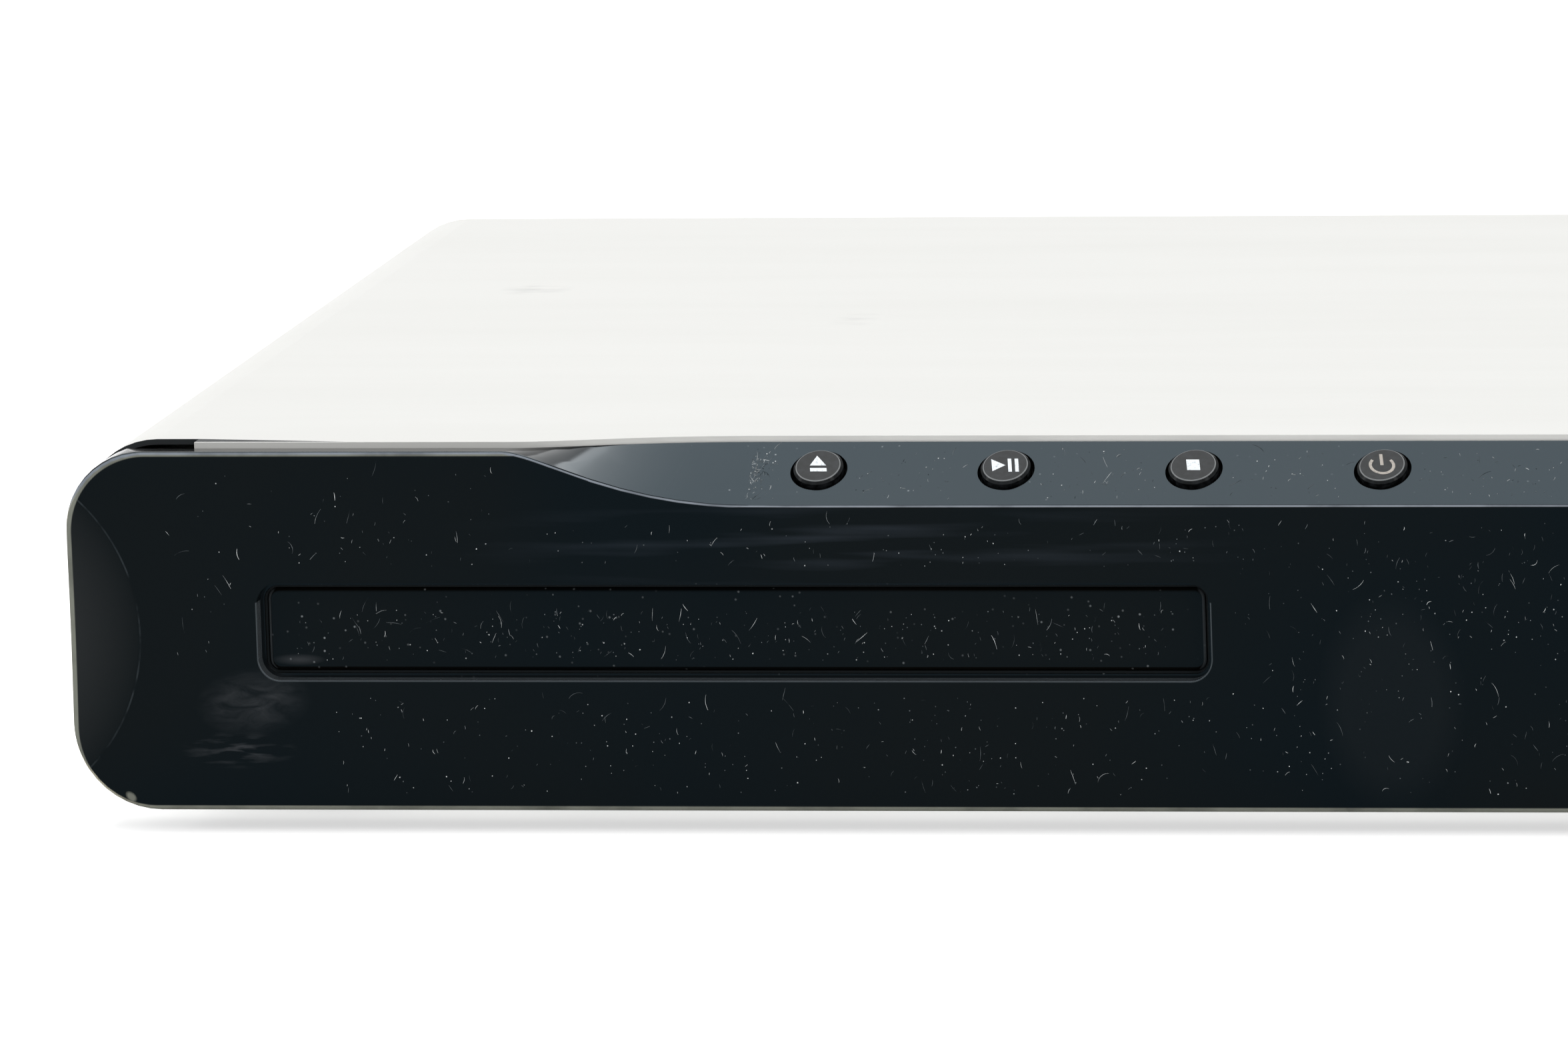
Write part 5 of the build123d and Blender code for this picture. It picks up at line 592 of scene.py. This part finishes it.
def nickel_and_nylon_jacks():
    """Moulded nylon with plated sleeves. Each jack shows a bright ring round a coloured insulator."""
    finish, tree, shader = new_finish("nickel_and_nylon_jacks", Specular_IOR_Level=0.4)
    x, y, z = put(tree, "SeparateXYZ", {0: put(tree, "TexCoord").outputs["Object"]}).outputs
    middle = (JACK_BOX[0][0] + JACK_BOX[1][0]) / 2
    foot = JACK_BOX[0][2] + JACK_PITCH / 2
    offsets = []
    cells = []
    for value, start in ((x, middle), (z, foot)):
        steps = put(tree, "Math", {0: value, 1: start}, operation="SUBTRACT")
        steps = put(tree, "Math", {0: steps, 1: JACK_PITCH}, operation="DIVIDE")
        cell = put(tree, "Math", {0: steps}, operation="ROUND")
        cells.append(cell)
        offsets.append(put(tree, "Math", {0: steps, 1: cell}, operation="SUBTRACT"))
    radius = put(tree, "VectorMath", {0: put(tree, "CombineXYZ", {0: offsets[0], 1: offsets[1]})},
                 operation="LENGTH").outputs["Value"]
    column = put(tree, "Math", {0: cells[0], 1: 0.3, 2: 0.5}, operation="MULTIPLY_ADD")
    lower = put(tree, "ValToRGB", {0: column}, [(0.0, "#c9b21c"), (0.35, "#d8d8d4"), (0.65, "#a81e1e")])
    upper = put(tree, "ValToRGB", {0: column}, [(0.0, "#1d7a3a"), (0.35, "#2246a0"), (0.65, "#a81e1e")])
    for bands in (lower, upper):
        bands.color_ramp.interpolation = "CONSTANT"
    insulator = put(tree, "Mix", {0: cells[1], 6: lower, 7: upper}, data_type="RGBA")
    behind = put(tree, "Math", {0: y, 1: REAR - 7.5 * MM}, operation="GREATER_THAN")
    inner = put(tree, "ValToRGB", {0: radius}, [(0.125, 0.0), (0.13, 1.0), (0.215, 1.0), (0.22, 0.0)])
    sleeve = put(tree, "ValToRGB", {0: radius}, [(0.215, 0.0), (0.22, 1.0), (0.31, 1.0), (0.32, 0.0)])
    inner = put(tree, "Math", {0: inner, 1: behind}, operation="MULTIPLY")
    sleeve = put(tree, "Math", {0: sleeve, 1: behind}, operation="MULTIPLY")
    colour = put(tree, "Mix", {0: inner, 6: linear("#1d1e20"), 7: insulator}, data_type="RGBA")
    colour = put(tree, "Mix", {0: sleeve, 6: colour, 7: linear("#c4c2ba")}, data_type="RGBA")
    tree.links.new(colour.outputs[2], shader.inputs["Base Color"])
    tree.links.new(sleeve.outputs[0], shader.inputs["Metallic"])
    rough = put(tree, "Math", {0: sleeve, 1: -0.18, 2: 0.4}, operation="MULTIPLY_ADD")
    tree.links.new(rough.outputs[0], shader.inputs["Roughness"])
    return finish


def record_finishes():
    """Every record slot with the finish that its nodes take."""
    return {
        "panel_black": piano_black_moulded_abs(),
        "window_black": smoked_cast_acrylic(),
        "button_chrome": lacquered_key_abs(),
        "cover_silver": satin_painted_sheet_steel(),
        # Zinc-plated sheet: cool grey, with a rolled grain some 1 mm wide and 14 mm long.
        "pan_steel": drawn_metal("zinc_plated_rolled_steel", ("#b5b6b4", "#c6c7c4"), 0.42, (1.0, 0.08, 1.0)),
        # Moulded rubber: dead matt, slightly grey where it is worn.
        "foot_rubber": grained("moulded_black_rubber", ("#161616", "#232323"), 0.85, 0.4),
        # Spark-eroded mould: an even matt grain of 0.25 mm.
        "frame_plastic": grained("spark_eroded_black_abs", ("#1a1b1d", "#222326"), 0.6, 0.25),
        "tray_plastic": grained("fine_matt_tray_abs", ("#2b2c2f", "#333438"), 0.48, 0.2),
        # Glass-filled nylon: fibres of about 0.3 mm leave it slightly mottled.
        "deck_plastic": grained("glass_filled_nylon", ("#232427", "#2e2f33"), 0.55, 0.3),
        # Acetal: milky and slightly waxy.
        "gear_plastic": grained("moulded_natural_acetal", ("#dcdad0", "#e6e4dc"), 0.38, 0.3,
                                Subsurface_Weight=0.1, Subsurface_Scale=0.001),
        # Rubber face on the turntable: a fine matt grip.
        "turntable_plastic": grained("turntable_rubber_face", ("#26272a", "#303236"), 0.6, 0.3),
        "belt_rubber": grained("ground_belt_rubber", ("#101010", "#1b1b1b"), 0.7, 0.2),
        # Deep-drawn can: bright, with faint draw lines along its height.
        "motor_steel": drawn_metal("plated_drawn_steel", ("#bfc0bf", "#cfd0ce"), 0.26, (1.0, 1.0, 0.06)),
        # Die-cast zinc: dull and slightly pitted.
        "sled_metal": grained("die_cast_zinc", ("#8d8f92", "#9c9ea1"), 0.45, 0.35, Metallic=1.0),
        "lens_glass": coated_moulded_glass(),
        # Passivated screws: a warm bright grey.
        "screw_steel": drawn_metal("passivated_screw_steel", ("#a9a9a4", "#bab9b2"), 0.3, (1.0, 1.0, 1.0)),
        "board_green": etched_circuit_board("green_masked_glass_board", "#0e4526", "#1c6236"),
        "board_tan": etched_circuit_board("bare_phenolic_board", "#a9773a", "#b98546"),
        # Moulded epoxy and shrink sleeve: dark, with a faint mould grain.
        "chip_black": grained("moulded_black_epoxy", ("#1b1c1e", "#262729"), 0.5, 0.15),
        # Extruded fins: bright, with die lines along their height.
        "sink_aluminium": drawn_metal("extruded_aluminium", ("#c9cacb", "#d6d7d7"), 0.32, (1.0, 1.0, 0.1)),
        # Winding tape: glossy yellow, slightly rumpled.
        "coil_tape": grained("yellow_winding_tape", ("#c99a1e", "#dcb02e"), 0.35, 0.5),
        "jack_plastic": nickel_and_nylon_jacks(),
        # Ribbon cable: white film over flat copper, faintly uneven.
        "cable_white": grained("white_ribbon_film", ("#dfe2e6", "#eef0f2"), 0.35, 0.6),
    }


# ------------------------------------------------------------------ what a user may change
class PlayerLook(bpy.types.PropertyGroup):
    """Colours and amounts of the player's outside."""

    panel_colour: bpy.props.FloatVectorProperty(
        name="Panel colour", description="Colour of the glossy front panel", subtype="COLOR", size=3,
        min=0.0, max=1.0, default=linear("#0e0d0b")[:3])
    cover_colour: bpy.props.FloatVectorProperty(
        name="Cover colour", description="Colour of the painted top cover", subtype="COLOR", size=3,
        min=0.0, max=1.0, default=linear("#e6e6e3")[:3])
    fibre_count: bpy.props.IntProperty(
        name="Fibres", description="Fibres of dust on the front", default=2900, min=0, max=5000)
    fibre_width: bpy.props.FloatProperty(
        name="Fibre width", description="Width of a fibre of dust", subtype="DISTANCE", unit="LENGTH",
        default=0.09 * MM, min=0.02 * MM, max=0.3 * MM)


class StudioLook(bpy.types.PropertyGroup):
    """Light, floor and camera of the studio."""

    sky_strength: bpy.props.FloatProperty(
        name="Sky", description="Strength of the even light from all round", default=0.72, min=0.0, max=2.0)
    box_power: bpy.props.FloatProperty(
        name="Soft box", description="Power of the soft box above the keys", subtype="POWER", default=26.0,
        min=0.0, max=200.0)
    card_power: bpy.props.FloatProperty(
        name="Gloss card", description="Power of the large card that only shows in glossy surfaces",
        subtype="POWER", default=120.0, min=0.0, max=2000.0)
    low_card_power: bpy.props.FloatProperty(
        name="Low card", description="Power of the dimmer card below the gloss card", subtype="POWER",
        default=34.0, min=0.0, max=2000.0)
    glint_power: bpy.props.FloatProperty(
        name="Side lamps", description="Power of each of the two side lamps", subtype="POWER", default=2.4,
        min=0.0, max=50.0)
    camera_place: bpy.props.FloatVectorProperty(
        name="Camera place", description="Where the camera stands", subtype="TRANSLATION", unit="LENGTH",
        size=3, default=(0.4, -2.4628, 0.4416))
    camera_turn: bpy.props.FloatVectorProperty(
        name="Camera turn", description="Turn to the left, tilt down and roll", subtype="EULER", size=3,
        default=(math.radians(10.13), math.radians(8.33), math.radians(-1.72)))
    lens: bpy.props.FloatProperty(
        name="Lens", description="Focal length in millimetres on a 36 mm sensor", default=378.74, min=10.0,
        max=2000.0)


# ------------------------------------------------------------------ operators
class PLAYER_OT_finish_frame(bpy.types.Operator):
    """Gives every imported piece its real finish"""

    bl_idname = "player.finish_frame"
    bl_label = "Finish the packed pieces"

    def execute(self, context):
        finishes = record_finishes()
        slots = {entry["node"]: entry["material_slot"] for entry in frame["record"]["subparts"]}
        for node, piece in frame["nodes"].items():
            for slot in piece.material_slots:
                slot.material = finishes[slots[node]]
        return {"FINISHED"}


def key_symbol(name):
    """The outlines of a key's symbol, in millimetres from the key's middle."""
    if name == "eject":
        return [[(-1.22, 0.0), (1.22, 0.0), (0.0, 2.1)],
                [(-1.24, -1.28), (1.24, -1.28), (1.24, -0.55), (-1.24, -0.55)]]
    if name == "play":
        return [
            [(-2.0, -1.28), (0.02, 0.0), (-2.0, 1.3)],
            [(0.38, -1.4), (0.92, -1.4), (0.98, 1.4), (0.44, 1.4)],
            [(1.42, -1.4), (1.96, -1.4), (2.02, 1.4), (1.48, 1.4)],
        ]
    if name == "stop":
        return [[(-0.97, -1.1), (0.97, -1.1), (0.97, 1.15), (-0.97, 1.15)]]
    # The power key has an open ring of short runs round a bar.
    outer, inner, level = 1.95, 1.5, -0.1
    opening, sweep, steps = 50, 260, 24
    rim = []
    for step in range(steps):
        corners = []
        for radius, turn in ((outer, step), (outer, step + 1), (inner, step + 1), (inner, step)):
            angle = math.radians(opening + sweep * turn / steps)
            corners.append((radius * math.sin(angle), radius * math.cos(angle) + level))
        rim.append(corners)
    return [*rim, [(-0.24, level), (0.24, level), (0.24, 2.25), (-0.24, 2.25)]]


class PLAYER_OT_add_symbols(bpy.types.Operator):
    """Prints the usual symbol on each of the four keys"""

    bl_idname = "player.add_symbols"
    bl_label = "Print the key symbols"

    def execute(self, context):
        white = pad_printed_ink("white_pad_ink", "#a3abb3", "#e2e9ee")
        grey = pad_printed_ink("grey_pad_ink", "#5c5852", "#9a9288")
        for name, across in KEY_PLACES.items():
            def fill(work):
                for outline in key_symbol(name):
                    add_slab(work, [(across + (u - SYMBOL_SLANT * v) * MM, v * MM) for u, v in outline],
                             lambda u, v, height: on_facet(u, v, KEY_PROUD + height), INK)
            ink = grey if name == "power" else white
            new_piece(f"{name}_symbol", fill, f"{name}_key", ink)
        return {"FINISHED"}


def rounded_outline(middle, half, radius, steps=8):
    """Points round a rounded rectangle, from its right upper corner on."""
    points = []
    for quarter, (across, up) in enumerate(((1, 1), (-1, 1), (-1, -1), (1, -1))):
        centre = (middle[0] + across * (half[0] - radius), middle[1] + up * (half[1] - radius))
        for step in range(steps + 1):
            angle = math.pi / 2 * (quarter + step / steps)
            points.append((centre[0] + radius * math.cos(angle), centre[1] + radius * math.sin(angle)))
    return points


class PLAYER_OT_add_door_brush(bpy.types.Operator):
    """Lines the gap round the tray door with the flocked strip that keeps the dust out"""

    bl_idname = "player.add_door_brush"
    bl_label = "Line the door's gap"

    def execute(self, context):
        # The strip fills the gap but for a little play, and its front leans back towards the door.
        inner, outer = (
            rounded_outline(DOOR_MIDDLE, [half + reach for half in DOOR_HALF], DOOR_RADIUS + reach)
            for reach in (0.06 * MM, DOOR_GAP - 0.01 * MM))
        corners = ((inner, 0.3 * MM), (outer, 0.12 * MM), (outer, 1.2 * MM), (inner, 1.2 * MM))
        count = len(inner)

        def fill(work):
            rings = [[work.verts.new((x, DOOR_BOX[0][1] + depth, z)) for x, z in ring]
                     for ring, depth in corners]
            for first, second in zip(rings, rings[1:] + rings[:1]):
                for i in range(count):
                    j = (i + 1) % count
                    work.faces.new((first[i], first[j], second[j], second[i]))

        # Nylon flock on a strip: a dead matt dark line with no gleam.
        flock = new_finish("dark_flocked_strip", "#14181a", Roughness=0.9, Specular_IOR_Level=0.1)[0]
        new_piece("door_brush", fill, "case", flock)
        return {"FINISHED"}


class DustCloth:
    """Draws fibres and crumbs at random places, the same on every run."""

    def __init__(self, seed, width):
        self.chance = random.Random(seed)
        self.width = width

    def fibre(self, work, place, across, up):
        """One fibre of four runs, or a crumb."""
        chance = self.chance
        if chance.random() < 0.55:
            size = chance.uniform(0.5, 1.2) * self.width
            corners = [(across + size * math.cos(turn), up + size * math.sin(turn))
                       for turn in (0.3, 1.4, 2.7, 3.9, 5.2)]
            add_slab(work, corners, place, INK)
            return
        length = chance.choice((0.3, 0.35, 0.4, 0.5, 0.6, 0.8, 1.1, 1.9)) * MM * chance.uniform(0.8, 1.3)
        heading = math.pi / 2 + chance.gauss(0.0, 0.6)
        bend = chance.gauss(0.0, 0.7)
        width = self.width * chance.uniform(0.45, 1.0)
        steps = 5 if length > 0.9 * MM else 3
        left, right = [], []
        for step in range(steps + 1):
            half = width / 2 * (1.0 - 0.7 * abs(2 * step / steps - 1))
            left.append((across - half * math.sin(heading), up + half * math.cos(heading)))
            right.append((across + half * math.sin(heading), up - half * math.cos(heading)))
            across += length / steps * math.cos(heading)
            up += length / steps * math.sin(heading)
            heading += bend / steps
        for i in range(steps):
            add_slab(work, (left[i], left[i + 1], right[i + 1], right[i]), place, INK)


def clear_of(box, across, up, margin):
    """True where a point of the front lies outside a box by a margin."""
    low, high = box
    return not (low[0] - margin < across < high[0] + margin and low[2] - margin < up < high[2] + margin)


class PLAYER_OT_add_dust(bpy.types.Operator):
    """Lays the fibres and crumbs of dust that lie on the front, the door and the key facet"""

    bl_idname = "player.add_dust"
    bl_label = "Lay the dust"

    def execute(self, context):
        look = context.scene.player_look
        lowest, highest = LINT_FACET
        for tone, (share, seed, dark, pale) in LINT_TONES.items():
            lint = cotton_lint(f"{tone}_cotton_lint", dark, pale)
            cloth = DustCloth(seed, look.fibre_width)
            chance = cloth.chance
            drifts = [(chance.uniform(-140, 168) * MM, chance.uniform(9, 46) * MM) for _ in range(26)]

            def front(work):
                for _ in range(int(look.fibre_count * share)):
                    if chance.random() < 0.5:
                        middle = chance.choice(drifts)
                        across, up = chance.gauss(middle[0], 9 * MM), chance.gauss(middle[1], 5 * MM)
                    else:
                        across, up = chance.uniform(-166, 168) * MM, chance.uniform(6, 54) * MM
                    roof = PANEL_TOP - 3 * MM if across < LEFT + S_CURVE_START else FACET_LIP - 2.5 * MM
                    if not (-168 * MM < across < 168 * MM and 6.0 * MM < up < roof):
                        continue
                    # The left end was wiped, so less lies there.
                    if across < -140 * MM and (up < 24 * MM or chance.random() < 0.4):
                        continue
                    if all(clear_of(box, across, up, LINT_CLEARANCE) for box in OPENINGS):
                        cloth.fibre(work, on_front, across, up)

            def facet(work):
                for _ in range(int(look.fibre_count * share / 5)):
                    across, up = chance.uniform(-78, 150) * MM, chance.uniform(lowest, highest) * MM
                    if all(abs(across - key) > LINT_KEY_CLEARANCE for key in KEY_PLACES.values()):
                        cloth.fibre(work, on_facet, across, up)
                # A tuft lies left of the eject key.
                tuft = KEY_PLACES["eject"] - 10.2 * MM
                for _ in range(int(look.fibre_count * share / 10)):
                    across, up = chance.gauss(tuft, 1.7 * MM), chance.gauss(-0.4 * MM, 2.4 * MM)
                    if across < tuft + 4.4 * MM:
                        cloth.fibre(work, on_facet, across, min(max(up, lowest * MM), highest * MM))

            def door(work):
                for _ in range(int(look.fibre_count * share / 8)):
                    across = chance.uniform(DOOR_BOX[0][0] + 4 * MM, DOOR_BOX[1][0] - 4 * MM)
                    up = chance.uniform(DOOR_BOX[0][2] + 1.5 * MM, DOOR_BOX[1][2] - 3.4 * MM)
                    cloth.fibre(work, on_door, across, up)

            new_piece(f"{tone}_front_dust", front, "case", lint)
            new_piece(f"{tone}_facet_dust", facet, "case", lint)
            new_piece(f"{tone}_door_dust", door, "tray", lint)
        return {"FINISHED"}


def add_lamp(name, size, power, place, hidden=()):
    """A rectangular soft lamp, turned towards the keys and hidden from some kinds of ray."""
    lamp = bpy.data.lights.new(name, "AREA")
    lamp.shape = "RECTANGLE"
    lamp.size, lamp.size_y = size
    lamp.energy = power
    holder = bpy.data.objects.new(name, lamp)
    holder.location = place
    holder.rotation_euler = (Vector(LAMP_TARGET) - Vector(place)).to_track_quat("-Z", "Y").to_euler()
    for kind in hidden:
        setattr(holder, "visible_" + kind, False)
    bpy.context.scene.collection.objects.link(holder)


def seen_rays(tree):
    """1 for camera, glossy and transmission rays, and 0 for the rest."""
    rays = put(tree, "LightPath").outputs
    seen = put(tree, "Math", {0: rays["Is Camera Ray"], 1: rays["Is Glossy Ray"]}, operation="ADD")
    return put(tree, "Math", {0: seen, 1: rays["Is Transmission Ray"]}, operation="ADD", use_clamp=True)


class PLAYER_OT_add_stage(bpy.types.Operator):
    """Sets up the pale floor, the even light, the lamps and the camera"""

    bl_idname = "player.add_stage"
    bl_label = "Set up the studio"

    def execute(self, context):
        look = context.scene.studio_look
        # Matt white paper: it shows as white to the eye and in reflections, and still takes the shadow.
        paper, tree, shader = new_finish("matt_white_paper", "#ececec", Roughness=1.0, Specular_IOR_Level=0.0)
        glow = put(tree, "Math", {0: seen_rays(tree), 1: 0.6}, operation="MULTIPLY")
        fill = put(tree, "Emission", {"Color": (1, 1, 1, 1), "Strength": glow})
        both = put(tree, "AddShader", {0: shader, 1: fill})
        tree.links.new(both.outputs[0], tree.nodes["Material Output"].inputs["Surface"])
        mesh = bpy.data.meshes.new("floor")
        corners = [(x * FLOOR_HALF, y * FLOOR_HALF, 0) for x, y in ((-1, -1), (1, -1), (1, 1), (-1, 1))]
        mesh.from_pydata(corners, [], [(0, 1, 2, 3)])
        mesh.materials.append(paper)
        floor = bpy.data.objects.new("floor", mesh)
        context.scene.collection.objects.link(floor)

        world = bpy.data.worlds.new("even_white_sky")
        world.use_nodes = True
        sky = world.node_tree
        sky.nodes.clear()
        level = put(sky, "Math", {0: seen_rays(sky), 1: 1.0 - look.sky_strength, 2: look.sky_strength},
                    operation="MULTIPLY_ADD")
        background = put(sky, "Background", {"Color": (1, 1, 1, 1), "Strength": level})
        put(sky, "OutputWorld", {"Surface": background})
        context.scene.world = world

        # The box lights the matt faces, and the two cards show only as the sheen of the glossy ones.
        add_lamp("soft_box", (1.3, 0.8), look.box_power, (-0.62, 0.62, 3.0), ("camera", "glossy"))
        add_lamp("gloss_card", (3.4, 1.15), look.card_power, (-0.7, 0.695, 2.555), ("camera", "diffuse"))
        add_lamp("low_card", (3.4, 1.49), look.low_card_power, (-0.7, 1.806, 1.92), ("camera", "diffuse"))
        add_lamp("left_lamp", (0.28, 0.28), look.glint_power, (-1.19, -0.5, 0.47))
        add_lamp("right_lamp", (0.28, 0.28), look.glint_power, (0.89, -0.87, 0.6))

        view = bpy.data.cameras.new("camera")
        view.sensor_width = 36.0
        view.lens = look.lens
        view.shift_x, view.shift_y = CAMERA_SHIFT
        view.clip_start, view.clip_end = 0.05, 50.0
        camera = bpy.data.objects.new("camera", view)
        left, down, roll = look.camera_turn
        turn = (Matrix.Rotation(left, 4, "Z") @ Matrix.Rotation(math.pi / 2 - down, 4, "X")
                @ Matrix.Rotation(roll, 4, "Z"))
        camera.matrix_world = Matrix.Translation(look.camera_place) @ turn
        context.scene.collection.objects.link(camera)
        context.scene.camera = camera
        context.scene.view_settings.view_transform = "Standard"
        return {"FINISHED"}


class PLAYER_PT_panel(bpy.types.Panel):
    """The player's colours and steps in the sidebar"""

    bl_idname = "PLAYER_PT_panel"
    bl_label = "Disc player"
    bl_space_type = "VIEW_3D"
    bl_region_type = "UI"
    bl_category = "Player"

    def draw(self, context):
        layout = self.layout
        for settings in (context.scene.player_look, context.scene.studio_look):
            for name in settings.__annotations__:
                layout.prop(settings, name)
        for step in STEPS:
            layout.operator(step.bl_idname)


STEPS = (PLAYER_OT_add_stage, PLAYER_OT_finish_frame, PLAYER_OT_add_symbols, PLAYER_OT_add_door_brush,
         PLAYER_OT_add_dust)
CLASSES = (PlayerLook, StudioLook, *STEPS, PLAYER_PT_panel)


def register():
    """Registers the classes and hangs the settings on the scene."""
    for cls in CLASSES:
        bpy.utils.register_class(cls)
    bpy.types.Scene.player_look = bpy.props.PointerProperty(type=PlayerLook)
    bpy.types.Scene.studio_look = bpy.props.PointerProperty(type=StudioLook)


def unregister():
    """Takes the settings and the classes away again."""
    del bpy.types.Scene.studio_look
    del bpy.types.Scene.player_look
    for cls in reversed(CLASSES):
        bpy.utils.unregister_class(cls)


def main():
    """Runs every step in order."""
    register()
    for step in STEPS:
        group, name = step.bl_idname.split(".")
        getattr(getattr(bpy.ops, group), name)()


if __name__ == "__main__":
    main()
